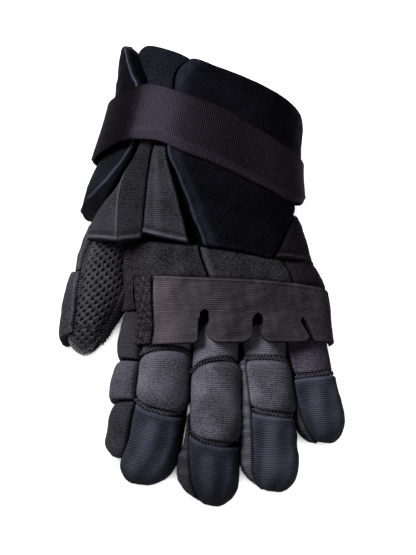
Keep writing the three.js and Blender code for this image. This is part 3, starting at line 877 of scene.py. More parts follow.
# Finger pads: finger, part, first and last line, arch, corner
FINGER_PADS = [
    ("index", "base", [[-31.5, -31.5, 152, 0, 0.8, 9], [-52.3, -54.3, 140, -6, 0.8, 7.5]], (0, -6), (0, 0)),
    (
        "index", "middle",
        [[-54.7, -56.7, 134, -4, 0.8, 10.5], [-83.8, -84.8, 126, -8, 0.8, 10.5]],
        (6, 8.5), (0.5, 0.5),
    ),
    (
        "middle", "base",
        [[-31.5, -31.5, 140, -6, 0.8, 9], [-64.3, -61.8, 140, -6, 0.8, 7.5]],
        (0, -7.5), (0, 0),
    ),
    (
        "middle", "middle",
        [[-66.7, -64.2, 140, -6, 0.8, 11], [-105.3, -106.8, 138, -8, 0.8, 11]],
        (7.5, 8.6), (0.5, 0.5),
    ),
    ("ring", "base", [[-31.5, -31.5, 136, -2, 0.8, 9], [-54.2, -58, 128, -2, 0.8, 7.5]], (0, -0.8), (0, 0)),
    (
        "ring", "middle",
        [[-56.6, -60.4, 120.5, -2, 0.8, 10.5], [-89.8, -91.8, 119.8, -4, 0.8, 10.5]],
        (0.8, 3.8), (1, 1),
    ),
    ("little", "base", [[-33, -33, 136, -14, 0.8, 7], [-66.3, -62.8, 126, -16, 0.8, 7]], (0, 0.6), (0, 0)),
]
# The pads whose left side is free, and how thick it is there
FREE_LEFT = [("index", "base"), ("index", "middle"), ("ring", "middle")]
FREE_LEFT_CROWN = 0.72
# Tip pads: finger, start, left edge as y and angle, right angle, height, arch of the start, slant, tone
TIP_PADS = [
    (
        "index", -86.2,
        [(-150, 148), (-134, 146), (-126, 138), (-118, 124.5), (-86, 124.5)],
        -14, 8, -8.5, -1, 0,
    ),
    (
        "middle", -107.7,
        [(-160, 112), (-146.5, 121.6), (-138, 125.7), (-126, 130.2), (-112, 134), (-100, 135)],
        -12, 8, -8.6, -1.5, 0,
    ),
    (
        "ring", -92.2,
        [(-150, 150), (-139, 142), (-125.6, 128.4), (-110.7, 124.8), (-95, 121.4), (-90, 120)],
        -12, 8, -3.8, -2, 0.14,
    ),
    (
        "little", -68.7,
        [(-115, 112), (-106, 117), (-100, 121.5), (-93, 124.5), (-80, 126), (-66, 124)],
        -16, 8.5, -0.6, 3.5, 0.12,
    ),
]
# How high the underside of a finger's or a strip's pad is over the wall
PAD_LOW = 0.8


def thinning(tip, y):
    """How much of its thickness a pad keeps over a finger's rounded end."""
    into = np.clip((tip + TIP_LENGTH - y) / TIP_LENGTH, 0, 1)
    return 0.4 + 0.6 * np.sqrt(1 - into**2)


def tip_lines(tube, start, left, right, high, slant=0):
    """The lines of a pad that runs over a finger's tip. left and right are tables of y and angle,
    and slant is how much higher the start is at its right."""
    turns = np.radians([0, 16, 32, 48, 62, 74, 82])
    end = tube.tip + TIP_LENGTH
    places = np.concatenate([np.linspace(start, end, 5)[:-1], end - TIP_LENGTH * np.sin(turns)])
    lines = []
    for y in places:
        edges = [float(value_at(table, y)) for table in (left, right)]
        y_right = y + slant * max((y - end) / (start - end), 0)
        lines.append([y, y_right, *edges, PAD_LOW, high * thinning(tube.tip, y)])
    return lines


def side_shares(finger, lay):
    """How thick a pad's left and right sides are, so that it just meets the next finger."""
    deep = np.maximum(lay.high - lay.low, 0.1)
    return [np.clip(reach(finger, side, lay.y, 5) / deep, 0.3, 0.92) for side in (0, 1)]


def add_finger_pads():
    for finger, part, lines, arch, corner in FINGER_PADS:
        lay = lay_out(fingers[finger], lines, (56, 52), arch, corner)
        crown = side_shares(finger, lay)
        if (finger, part) in FREE_LEFT:
            crown[0] = FREE_LEFT_CROWN
        keep = (0.75, 0.8 if part == "base" else 0.5)
        height = dome(lay, round_side=6, round_end=7, crown=crown, keep=keep, shut=0.8)
        height = height + puckers(lay, depth=0.6)
        patch = 0.14 * unevenness(lay.flat, 24, 41) - 0.12 * smooth_step(lay.v, 0.5, 1)
        paler = 0.3 if part == "base" and finger != "little" else 0.05
        # Painted shade in the seams and a faint painted highlight on the lips; patch adds uneven tone and
        # darkens towards the pad's lower end.
        piece = stuffed(f"{finger}_pad_{part}_cloth", lay, height, seam_shade_and_lip_light(lay, 0.8, 0.1) + patch + paler)
        material = "little knit" if finger == "little" else "finger knit"
        dress(piece, material, f"{finger}_pad_{part}")


def add_tip_pads():
    """Pads over the fingertips, with a rolled upper edge and a few long creases."""
    for finger, start, left, right, high, arch, slant, tone in TIP_PADS:
        lines = tip_lines(fingers[finger], start, left, [(-160, right), (0, right)], high, slant)
        lay = lay_out(fingers[finger], lines, (64, 76), (arch, 0))
        inner = smooth_step(lay.from_start, 2, 12) * smooth_step(lay.from_end, 3, 22)
        crease = np.cos(2 * np.pi * (lay.u * 3.3 + 0.25 * np.sin(lay.v * 2.2))) * inner
        lip = ridge(lay.from_start, 2.2, 1.3)
        crown = [0.8, side_shares(finger, lay)[1]]
        keep = (0.72, 0.5 * (1 - lay.v))
        height = dome(lay, round_side=7, round_end=6, crown=crown, keep=keep, shut=0.8)
        height = height + 0.45 * crease + 0.7 * lip
        # Painted light: highlights along the crease crests, down the middle of the tip and on the rolled lip,
        # and painted shade in the seams and towards the tip's far end.
        highlight_streaks = 0.2 * crease + 0.15 * ridge(lay.u, 0.42, 0.16) * inner
        painted_light_and_wear = seam_shade_and_lip_light(lay, 0.55, 0) + 0.5 * lip + highlight_streaks - 0.3 * smooth_step(lay.v, 0.5, 1) + tone
        piece = stuffed(f"{finger}_pad_tip_cloth", lay, height, painted_light_and_wear)
        material = "middle tip knit" if finger == "middle" else "tip knit"
        dress(piece, material, f"{finger}_pad_tip")


# Strips down the thumb's side of three fingers: finger, start, y and angle of the right edge, tone
STRIPS = [
    (
        "middle", -92,
        [(-160, 112.6), (-146.5, 122.2), (-138, 126.3), (-126, 130.8), (-112, 134.6), (-105, 138),
         (-92, 139)],
        -0.35,
    ),
    (
        "ring", -55,
        [(-150, 150.6), (-139, 142.6), (-125.6, 129), (-110.7, 125.4), (-95, 122), (-91, 121),
         (-55, 121.2)],
        0.3,
    ),
    (
        "little", -63.5,
        [(-115, 112.6), (-106, 117.6), (-100, 122.1), (-93, 125.1), (-80, 126.6), (-63, 126.6)],
        0,
    ),
]
STRIP_LEFT = 206
STRIP_RIB = 1.6
# How thick a strip is at its right edge
STRIP_HIGH_SIDE = 5.6


def add_side_strips():
    for finger, start, right, tone in STRIPS:
        tube = fingers[finger]
        lines = tip_lines(tube, start, [(-160, STRIP_LEFT), (0, STRIP_LEFT)], right, 1)
        for line in lines:
            line[5] = PAD_LOW + float(reach(finger, 0, line[0], 0)) * line[5]
        lay = lay_out(tube, lines, (44, 100))
        high_side = np.clip(STRIP_HIGH_SIDE / np.maximum(lay.high - lay.low, 0.1), 0.3, 3.5)
        ribs = np.cos(2 * np.pi * lay.down / STRIP_RIB)
        ribs = ribs * rounded(lay.from_left, 5) * rounded(lay.from_right, 3)
        height = dome(lay, round_side=4, round_end=5, crown=(0.8, high_side), keep=(0.65, 0), shut=0.8)
        height = height + 0.22 * ribs
        piece = stuffed(f"{finger}_side_strip_cloth", lay, height, seam_shade_and_lip_light(lay, 0.6, 0) + 0.25 * ribs + tone)
        dress(piece, "strip knit", f"{finger}_side_strip")


# Pads on the index finger's outer side: node, lines, crown, tone
INDEX_SIDE_PADS = [
    ("index_side_pad_1", [[-20, -20, 212, 141, 1, 21.5], [-57.6, -57.6, 212, 136, 1, 21]], (0.8, 0.5), -0.42),
    (
        "index_side_pad_2",
        [[-58.2, -58.2, 212, 134.6, 1, 20], [-89.9, -85.5, 212, 126.8, 1, 20]],
        (0.85, 0.5), 0.18,
    ),
    (
        "index_side_pad_3",
        [[-90.5, -86.1, 212, 125.2, 1, 15.5], [-104, -104, 212, 125, 1, 15.5],
         [-118, -118, 212, 125.4, 1, 14], [-124, -124, 208, 136, 1, 9.5]],
        (0.85, 0.55), -0.4,
    ),
]
# Pads on the thumb's outer side: node, lines, crown
THUMB_PADS = [
    (
        "thumb_pad_upper",
        [[48, 48, 214, 168, 0.8, 8], [41, 41, 214, 161, 0.8, 10], [10, 10, 214, 150, 0.8, 6]],
        (0.9, 0.6),
    ),
    (
        "thumb_pad_lower",
        [[8.5, 8.5, 214, 140, 0.8, 8.5], [-4, -4, 214, 136, 0.8, 8.5], [-20, -20, 214, 127, 0.8, 8],
         [-41, -36, 208, 120, 0.8, 7]],
        (0.9, 0.45),
    ),
]
SIDE_PAD_GRID = (52, 56)


def add_side_pads():
    for node, lines, crown, tone in INDEX_SIDE_PADS:
        lay = lay_out(fingers["index"], lines, SIDE_PAD_GRID)
        height = dome(lay, round_side=6, round_end=11, crown=crown, keep=(0.75, 0.72), shut=0.8)
        height = height + puckers(lay, depth=0.35)
        piece = stuffed(f"{node}_cloth", lay, height, seam_shade_and_lip_light(lay, 0.4, 0) + tone)
        dress(piece, "side knit", node)
    for node, lines, crown in THUMB_PADS:
        lay = lay_out(thumb, lines, SIDE_PAD_GRID)
        height = dome(lay, round_side=6, round_end=4, crown=crown, keep=(0.75, 0.9), shut=0.8)
        height = height + puckers(lay, depth=0.35)
        # Painted shade in the seams and a painted highlight along the pad's right edge.
        painted_light_and_wear = seam_shade_and_lip_light(lay, 0.4, 0) + 0.25 * ridge(lay.from_right, 1.5, 0.9)
        dress(stuffed(f"{node}_cloth", lay, height, painted_light_and_wear), "thumb knit", node)


# The thumb's perforated face. Cells are across and along the thumb, holes are half sizes
CELL = (3.3, 6.1)
HOLE = (1.3, 0.72)
HOLE_SLANT = -24
# The corners round a cell, one for each corner of its hole
CELL_EDGE = np.array([
    (1, 0.75), (1, 1), (0.5, 1), (0, 1), (0, 0.75), (0, 0.5),
    (0, 0.25), (0, 0), (0.5, 0), (1, 0), (1, 0.25), (1, 0.5),
]) - 0.5
FACE_HEIGHT = 1.4
FACE_WALL = 0.7
FACE_LEFT = 157.5
# The face's right edge: y, angle
FACE_RIGHT = [(-52, 44), (-6, 44), (8, 12), (42, 12)]
# How far holes stay from the face's sides, in degrees, and from its two ends, in mm
SIDE_MARGIN = 9
TIP_MARGIN = 6
ROOT_MARGIN = 9
# A cell that the face's edge leaves narrower than this is left out
LEAST_CELL = 0.5


class ThumbFace:
    """The thumb's face laid flat: s is across it from its middle, and t along it from the tip."""

    def __init__(self):
        tip = THUMB_TIP + TIP_LENGTH * (1 - np.sin(np.radians(np.linspace(88, 0, 30))))
        self.places = np.concatenate([tip, np.linspace(-33.5, 41, 40)])
        self.angles = np.linspace(0, 180, 91)
        y, angle = np.meshgrid(self.places, self.angles, indexing="ij")
        surface = thumb.over(y, angle, FACE_HEIGHT)
        middle = len(self.angles) // 2
        around = lengths(surface, 1)
        self.around = around - around[:, middle:middle + 1]
        self.down = lengths(surface, 0)[:, middle]
        self.length = self.down[-1]

    def at(self, s, t):
        """Points of the face, with their y and angle."""
        y = np.interp(t, self.down, self.places)
        i = np.clip(np.searchsorted(self.places, y) - 1, 0, len(self.places) - 2)
        f = (y - self.places[i]) / (self.places[i + 1] - self.places[i])
        reached = []
        for row, part, wanted in zip(i, f, s):
            arc = self.around[row] * (1 - part) + self.around[row + 1] * part
            reached.append(np.interp(wanted, arc, self.angles))
        angle = np.clip(reached, value_at(FACE_RIGHT, y), FACE_LEFT)
        return thumb.over(y, angle, FACE_HEIGHT), y, angle


def hole_corners():
    count = len(CELL_EDGE)
    turns = np.radians((np.arange(count) + 0.5) * 360 / count)
    slant = math.radians(HOLE_SLANT)
    corners = np.stack([HOLE[0] * np.cos(turns), HOLE[1] * np.sin(turns)], 1)
    return corners @ np.array([[math.cos(slant), math.sin(slant)], [-math.sin(slant), math.cos(slant)]])


def perforated_cell():
    """A ring of faces: its first corners are the hole's, and the others are the cell's edge."""
    bpy.ops.mesh.primitive_circle_add(vertices=len(CELL_EDGE), radius=1)
    cell = bpy.context.object
    bpy.ops.object.mode_set(mode="EDIT")
    bpy.ops.mesh.select_all(action="SELECT")
    bpy.ops.mesh.extrude_edges_move()
    bpy.ops.object.mode_set(mode="OBJECT")
    return cell


def add_thumb_face():
    """Leather over the thumb with staggered slanted holes, one cell for each, all sewn into one."""
    face = ThumbFace()
    hole = hole_corners()
    cell = perforated_cell()
    made = []
    for column in range(-11, 12):
        for row in range(20):
            middle = np.array([column * CELL[0], (row + 0.5 * (column % 2)) * CELL[1]])
            if middle[1] > face.length + CELL[1] / 2:
                continue
            edge, y, angle = face.at(*(CELL_EDGE * CELL + middle).T)
            if np.ptp(angle) < LEAST_CELL or np.ptp(y) < LEAST_CELL:
                continue
            _, y, angle = face.at(*middle[:, None])
            clear = value_at(FACE_RIGHT, y[0]) + SIDE_MARGIN < angle[0] < FACE_LEFT - SIDE_MARGIN
            opened = clear and TIP_MARGIN < middle[1] < face.length - ROOT_MARGIN
            corners, _, _ = face.at(*(hole * bool(opened) + middle).T)
            made.append(copied(cell, np.concatenate([corners, edge])))
    bpy.data.objects.remove(cell)
    piece = joined(made)
    piece.name = "thumb_face_cloth"
    dress(thicken(sewn_shut(piece), FACE_WALL), "leather")


# The ribbed border down the thumb's inner side: y, left angle, height
THUMB_BORDER = [
    (20, 10, 1.6), (8, 16, 2.2), (-6, 46, 2.4), (-20, 45, 2.2), (-31, 46, 2), (-36, 50, 1.8),
    (-40.5, 56, 1.4),
]
BORDER_RIGHT = -38


def add_thumb_border():
    lines = [[y, y, left, BORDER_RIGHT, PAD_LOW, high] for y, left, high in THUMB_BORDER]
    lay = lay_out(thumb, lines, (50, 100))
    ribs = np.cos(2 * np.pi * (lay.down / 2.6 + lay.across / 7))
    inside = rounded(np.minimum(lay.from_left, lay.from_right), 3)
    height = dome(lay, round_side=3, round_end=3, crown=(0.8, 0.8)) + 0.45 * ribs * inside
    # Painted light: the rib folds are lighter on their crests and darker in their troughs, with painted shade
    # in the seams.
    piece = stuffed("thumb_border_cloth", lay, height, seam_shade_and_lip_light(lay, 0.5, 0.1) + 0.8 * ribs, rough=0.3)
    dress(piece, "thumb knit")


# The web between thumb and palm: its ends along y, and its two sides as y and angle
WEB_TOP = 31
WEB_END = -19
WEB_ON_THUMB = [(-19, 18), (-4, 43), (9, 51), (31, 60)]
WEB_ON_PALM = [(-19, 158), (2, 150), (31, 150)]


def add_thumb_web():
    """The gathered cloth between thumb and palm."""
    y = np.linspace(WEB_TOP, WEB_END, 60)
    on_thumb = thumb.over(y, value_at(WEB_ON_THUMB, y), 2.2)[:, None]
    on_palm = palm.over(y, value_at(WEB_ON_PALM, y), 5)[:, None]
    share = np.linspace(0, 1, 30)[None, :]
    flat = on_thumb * (1 - share[..., None]) + on_palm * share[..., None]
    run = lengths(flat, 0)
    arch = np.sin(np.pi * share) ** 0.6 * rounded(run[:, :1], 2) * rounded((run[-1:] - run)[:, :1], 3)
    stitches = np.cos(2 * np.pi * run / 2.3) * ridge(share, 0.35, 0.2)
    top, bottom = flat.copy(), flat.copy()
    top[..., 2] += arch * (1.2 + 0.4 * stitches + 0.8 * unevenness(flat, 8, 61))
    bottom[..., 2] -= arch * 1.6
    painted_light_and_wear = 0.55 * stitches + 0.2 * unevenness(flat, 4, 62)
    dress(pad_between("thumb_web_cloth", top, bottom, painted_light_and_wear), "web knit")


# Pads on the back of the hand: first and last line
BACK_PADS = {
    "back_pad_thumb_side": [[28.3, 22.6, 150, 96.2, 0.5, 7.8], [0.2, -2.2, 150, 94, 0.5, 7.8]],
    "back_pad_middle": [[21.5, 12.6, 95.9, 49, 0.5, 7.8], [-2.4, -5.6, 93.7, 47.6, 0.5, 7.8]],
    "back_pad_outer": [[12, 8, 48.8, -14, 0.5, 10.5], [-6, -9, 47.4, -14, 0.5, 10.5]],
}


def add_back_pads():
    for node, lines in BACK_PADS.items():
        lay = lay_out(palm, lines, (64, 40))
        outer = node == "back_pad_outer"
        roll = ridge(lay.from_left, 3, 2.2) if node == "back_pad_middle" else 0 * lay.u
        roll = roll * rounded(lay.from_start, 4)
        crown = (0.72, 1) if outer else (0.95, 0.95)
        height = dome(lay, round_side=2.5, round_end=4, crown=crown, keep=(0.82, 0.3), shut=0.7)
        height = height + 0.7 * roll
        # Painted shade in the seams and a painted highlight on the roll; the unevenness is the cloth's own
        # tone.
        painted_light_and_wear = seam_shade_and_lip_light(lay, 0.55, 0.05) + 0.5 * roll + 0.12 * unevenness(lay.flat, 18, 71)
        piece = stuffed(f"{node}_cloth", lay, height, painted_light_and_wear)
        dress(piece, "back cloth" if outer else "back knit", node)


# The knuckle flap: four lobes between three slots. The slots: x, top, half width, lean
SLOTS = [(-1.8, -23, 2.9, -1.5), (34.6, -25.2, 2.9, -0.5), (63.2, -26.6, 1.2, 6)]
# The y of its upper edge and its hem at their left and right ends
FLAP_TOP = (1.8, -8)
FLAP_HEM = (-46.5, -45)
# Its left edge: y, angle
FLAP_LEFT = [(-46.5, 142.5), (-28, 137.2), (-18, 134), (-8, 130.6), (0.5, 128.6)]
FLAP_RIGHT = -4
# The angle from which shares across the flap are counted
FLAP_START = 135
FLAP_DEPTH = 3.2
# Radius of each lobe's lower corners, left and right
LOBE_CORNERS = [(0, 3), (9, 8), (6.5, 5), (3, 0)]
LOBE_GRID = (50, 76)
# The groove along the upper edge: distance from the edge, half width
FLAP_GROOVE = (3.2, 0.7)
# The patch at the flap's thumb-side end: y, left angle, low, high
FLAP_END = [
    (1.8, 150, 0.5, 7.5), (-10, 152, 0.7, 8), (-25, 158, 1.8, 9), (-37, 165, 4, 11), (-46, 170, 6.3, 12.5),
]


def across_flap(angle):
    """Shares across the flap, from left to right."""
    return (FLAP_START - angle) / (FLAP_START - FLAP_RIGHT)


def down_flap(y):
    """Shares down the flap."""
    return (FLAP_TOP[0] - y) / (FLAP_TOP[0] - FLAP_HEM[0])


def flap_edge(slot, v, side):
    """The angle of a lobe's edge at a slot, for shares v down the flap."""
    x, top, half, lean = slot
    y = blend(FLAP_TOP[0] - 3, FLAP_HEM[0], v)
    down = np.clip((top - y) / (top - FLAP_HEM[0]), 0, 1)
    width = half * rounded(top - y, half) * (y < top)
    return palm.angle_at(y, x + lean * down + side * width)


def lobe_edges(v):
    """The left and right angles of each lobe, for shares v down the flap."""
    lefts = [value_at(FLAP_LEFT, blend(FLAP_TOP[0], FLAP_HEM[0], v))]
    lefts += [flap_edge(slot, v, 1) for slot in SLOTS]
    rights = [flap_edge(slot, v, -1) for slot in SLOTS]
    rights.append(np.full(v.shape, float(FLAP_RIGHT)))
    return list(zip(lefts, rights))


def corner_lift(distance, radius):
    """How much a rounded corner lifts the hem at a distance from the lobe's edge."""
    if radius == 0:
        return 0 * distance
    return radius * (1 - rounded(distance, radius))


def free_border(grid, start_left, start_right):
    """A lobe's border, down its left side, along its hem and up its right side. It leaves out the
    rows above each side's start, where the lobe and its neighbour are one."""
    return np.concatenate([grid[start_left:, 0], grid[-1, 1:], grid[start_right:-1, -1][::-1]])


def flap_lobe(number, edges, starts, v):
    """The grids of a lobe: its top, its underside, its free border and its upper edge."""
    left, right = edges
    angle = left[:, None] + (right - left)[:, None] * shares(LOBE_GRID[0], 0.6)
    u = across_flap(angle)
    hem = lengths(palm.wall(np.full(LOBE_GRID[0], -44.0), angle[-1])[None], 1)
    left_radius, right_radius = LOBE_CORNERS[number]
    lift = corner_lift(hem, left_radius) + corner_lift(hem[:, -1:] - hem, right_radius)
    y = blend(blend(*FLAP_TOP, u), blend(*FLAP_HEM, u), v[:, None])
    y = y + lift * np.clip((v[:, None] - 0.66) / 0.34, 0, 1)
    place = np.clip(down_flap(y), 0, 1)
    low = 0.5 + 6 * place**2
    high = 7.8 + 4.2 * place**2 + 3.6 * smooth_step(40 - angle, 0, 38) * (1 - place**2)
    flat = palm.over(y, angle, (low + high) / 2)
    across, down = lengths(flat, 1), lengths(flat, 0)
    one_piece = 40 * (1 - smooth_step(v[:, None], 0.45, 0.62))
    from_left = across + (0 if number == 0 else one_piece)
    from_right = across[:, -1:] - across + (0 if number == len(SLOTS) else one_piece)
    near = np.minimum(np.minimum(from_left, from_right), np.minimum(down, down[-1:] - down))
    groove = ridge(down, *FLAP_GROOVE)
    thin = high - FLAP_DEPTH
    height = thin + FLAP_DEPTH * rounded(near, 1.8) + 0.35 * unevenness(flat, 20, 21) - 0.4 * groove
    # How close each point is to the edges that get painted shade: the free edges, the top and the first
    # lobe's left side.
    hem_shade_gap = near + (1.2 if number == 0 else 0) * ridge(from_left, 0, 1.5) + 0.8 * ridge(down, 0, 1.5)
    # Painted light: a highlight just inside the edges, and painted shade along the edges and in the groove.
    painted_light_and_wear = 0.15 * ridge(near, 1.8, 0.9) - 0.9 * ridge(hem_shade_gap, 0, 0.9) - 0.25 * groove
    # Paler towards the left end as painted light falling from the left, and paler over the right part.
    painted_light_and_wear = painted_light_and_wear + 0.5 * (1 - smooth_step(u, 0.05, 0.45)) + 0.28 * smooth_step(u, 0.5, 0.8)
    painted_light_and_wear = painted_light_and_wear + 0.12 * unevenness(flat, 26, 23) + 0.12 * unevenness(flat, 6, 24)
    top = palm.over(y, angle, height)
    bottom = palm.over(y, angle, thin - 0.4)
    border = np.stack([free_border(top, *starts), free_border(bottom, *starts)])
    name = f"flap_lobe_{number}"
    # The underside, rim and upper edge are darkened as painted shade.
    return [
        cloth_grid(name, top, painted_light_and_wear),
        cloth_grid(f"{name}_back", bottom, -0.5),
        cloth_grid(f"{name}_rim", border, -0.5),
        cloth_grid(f"{name}_top", np.stack([top[0], bottom[0]]), -0.5),
    ]


def add_flap():
    v = np.linspace(0, 1, LOBE_GRID[1])
    edges = lobe_edges(v)
    # The row at which each lobe's edge comes free of its neighbour's
    starts = [0] + [int(np.argmax(a[1] > b[0])) - 1 for a, b in zip(edges, edges[1:])] + [0]
    grids = []
    for number, pair in enumerate(edges):
        grids += flap_lobe(number, pair, starts[number:number + 2], v)
    piece = joined(grids)
    piece.name = "knuckle_flap_cloth"
    dress(sewn_shut(piece), "flap cloth", "knuckle_flap")


def add_flap_end():
    """The rough patch at the flap's thumb-side end."""
    lines = [
        [y, y, left, float(value_at(FLAP_LEFT, y)) + 0.5, low, high]
        for y, left, low, high in FLAP_END
    ]
    lay = lay_out(palm, lines, (80, 120))
    inside = rounded(lay.from_left, 3) * rounded(lay.from_right, 1.5)
    rough = (0.6 * unevenness(lay.flat, 2.2, 31) + 0.5 * unevenness(lay.flat, 3.7, 32)) * inside
    height = dome(lay, round_side=2.2, round_end=2.5, crown=(0.7, 1), keep=(0.88, 0.5), shut=0.7)
    height = height + 0.4 * rough
    piece = stuffed("flap_end_cloth", lay, height, seam_shade_and_lip_light(lay, 0.4, 0) + 0.75 * rough)
    dress(piece, "patch cloth", "flap_end")


# The cuff. Each line is y at the left and right end, left and right angle, low, high
CUFF_PANEL = [
    [147.5, 146, 97, -14, 0.8, 11],
    [141, 139, 100.9, -15, 0.8, 11.5],
    [135, 133, 104.2, -15, 0.8, 11.5],
    [128, 126, 106, -15.5, 0.8, 11],
    [119, 118, 105.8, -16, 0.8, 11],
    [100, 100, 104.9, -16, 0.8, 11],
    [81, 81, 103.2, 0, 0.8, 11],
    [67, 67, 96.4, 19, 0.8, 11],
    [54, 53, 92.4, 23.5, 0.8, 11],
    [41, 38, 90.6, 33, 0.8, 11],
    [30, 24.5, 89.4, 42.5, 0.8, 11],
    [20.5, 10.8, 88.4, 51.5, 0.8, 10.5],
]
CUFF_INNER_PAD = [
    [150, 147.5, 130, 96.5, 1, 8],
    [144, 141, 137.5, 101, 1, 8],
    [138, 135, 136, 104.3, 1, 8],
    [130, 128, 131, 106.2, 1, 8],
    [121, 119, 126, 106, 1, 7.8],
    [100, 100, 122.5, 105.1, 1, 7.5],
    [86, 86, 120, 104.7, 1, 7],
]
CUFF_SIDE_PAD = [
    [146.5, 149, 204, 152.6, 1.3, 8],
    [140, 144.5, 206, 143.4, 1.3, 9],
    [133, 138.5, 206, 136.6, 1.3, 9],
    [118, 120, 206, 127, 1.3, 9],
    [98, 98, 206, 123.5, 1.3, 9],
    [82, 82, 206, 124.6, 1.3, 5.5],
    [70, 69, 206, 128.6, 1.3, 8],
    [62, 57, 206, 136.6, 1.3, 10.8],
    [57, 48, 206, 145.5, 1.3, 12],
    [53, 39, 204, 155, 1.3, 11],
]
# The crest along the side pad's front edge: y, angle
SIDE_CREST = [
    (49.5, 176), (54, 154.5), (60.7, 141), (69.2, 132.6), (80, 127.8), (98, 127.5), (113, 130), (120, 133),
    (123.4, 136.8), (133.8, 144), (144.5, 149.5), (152, 152.5),
]
# The wedges: lines from apex to base, tilt, height of the rolled base, sides with a seam, tone. The tone is
# painted light: wedge 1 is lighter, facing the key light, and wedge 2 darker, facing away.
WEDGES = {
    "wedge_1": (
        [[88, 88, 122.2, 121, 0.5, 7], [77, 77, 123, 121.3, 0.5, 8], [66, 66, 128.2, 126.1, 0.5, 9.5],
         [56, 56, 136.4, 128.2, 0.5, 11], [43, 43, 160, 129, 0.5, 11.5], [34, 25, 180, 129.5, 0.5, 11.5]],
        (0.6, 1), 0.6, "left", 0.08,
    ),
    "wedge_2": (
        [[88, 88, 120.9, 113.4, 0.5, 7], [77, 77, 121.2, 113, 0.5, 8], [66, 66, 126.1, 112.4, 0.5, 9.5],
         [56, 56, 128.2, 112.4, 0.5, 11], [43, 43, 129, 113.2, 0.5, 11.5],
         [25, 26.5, 129.5, 114.6, 0.5, 11.5]],
        (1, 0.42), 1.2, "right", -0.2,
    ),
    "wedge_3": (
        [[84, 84, 112.6, 104.2, 0.5, 7], [76, 76, 112.2, 101.8, 0.5, 8], [61, 61, 111.8, 96.5, 0.5, 9.5],
         [43, 43, 112.7, 93.2, 0.5, 10.5], [30.5, 22.5, 114.1, 91.3, 0.5, 11]],
        (0.72, 0.78), 2.4, "both", 0.03,
    ),
    "wedge_4": (
        [[52, 52, 24, 13, 0.5, 8], [40, 40, 32, 4, 1, 10],
         [26, 25, 41.6, -4, 2.5, 12], [13, 10, 50.6, -8, 4, 13]],
        (0.95, 0.75), 0.9, "both", 0,
    ),
}


def add_cuff_panel():
    """The broad panel on the cuff's back, with a rolled fold along its left edge that carries a painted
    highlight.
    """
    lay = lay_out(cuff, CUFF_PANEL, (112, 124), corner=(1.5, 0.3))
    upper = smooth_step(lay.y, 98, 116)
    fold = ridge(lay.from_left, 2.6 + 3.5 * upper, 1.5 + 3.5 * upper)
    hollow = ridge(lay.from_left, 8, 2.6) * (1 - upper)
    height = dome(lay, round_side=3.6, round_end=3.6, crown=(0.9, 0.9), keep=(0.45, 0.35), shut=0.8)
    height = height + 1.7 * fold - 0.7 * hollow
    # Painted highlight along the fold's crest, and a lighter band beside it, both weaker up the panel.
    fold_highlight = fold * (0.75 + 0.3 * unevenness(lay.flat, 9, 51)) * (1 - 0.6 * upper)
    painted_light_and_wear = seam_shade_and_lip_light(lay, 0.9, 0.1) + fold_highlight + 0.3 * ridge(lay.from_left, 6, 4) * (1 - upper)
    dress(stuffed("cuff_panel_cloth", lay, height, painted_light_and_wear), "smooth cloth", "cuff_panel")


def add_cuff_inner_pad():
    lay = lay_out(cuff, CUFF_INNER_PAD, (56, 60), corner=(2, 0))
    height = dome(lay, round_side=3, round_end=4, crown=(0.85, 1), keep=(0.8, 0.2), shut=0.8)
    piece = stuffed("cuff_inner_pad_cloth", lay, height, seam_shade_and_lip_light(lay, 0.7, 0))
    dress(piece, "inner cloth", "cuff_inner_pad")


def add_cuff_side_pad():
    """The side pad: a rolled crest with a painted highlight, a lower facet in front of it darkened as painted
    shade, and a pointed ear at the rim.
    """
    lay = lay_out(cuff, CUFF_SIDE_PAD, (104, 120), corner=(1, 0.5), peak=(0.74, 0.18, 5))
    line = cuff.wall(*np.transpose(SIDE_CREST))
    steps = np.linspace(0, 1, 20)[:, None]
    spots = np.concatenate([blend(a, b, steps) for a, b in zip(line, line[1:])])
    away = np.linalg.norm(cuff.wall(lay.y, lay.angle)[:, :, None] - spots, axis=-1).min(axis=-1)
    facet = lay.angle < value_at(SIDE_CREST, lay.y)
    inside = np.where(facet, np.exp(-away / 7), 1.0)
    roll = ridge(away, 0, 1.2)
    full = dome(lay, round_side=4, round_end=5, crown=(0.9, 1), keep=(0.4, 0.2)) - lay.low
    height = lay.low + full * (0.3 + 0.7 * inside)
    height = height + 1.6 * roll * rounded(lay.from_start, 4) * rounded(lay.from_right, 3)
    ear = smooth_step(lay.y, 95, 115)
    # Painted highlight on the crest, stronger on the ear, and painted shade over the facet and in the seams;
    # the whole pad is darker, and the ear more so.
    painted_light_and_wear = seam_shade_and_lip_light(lay, 0.8, 0) + (0.7 + 0.7 * ear) * roll - 0.6 * facet * (1 - inside) - 0.22 - 0.6 * ear
    dress(stuffed("cuff_side_pad_cloth", lay, height, painted_light_and_wear), "side cloth", "cuff_side_pad")


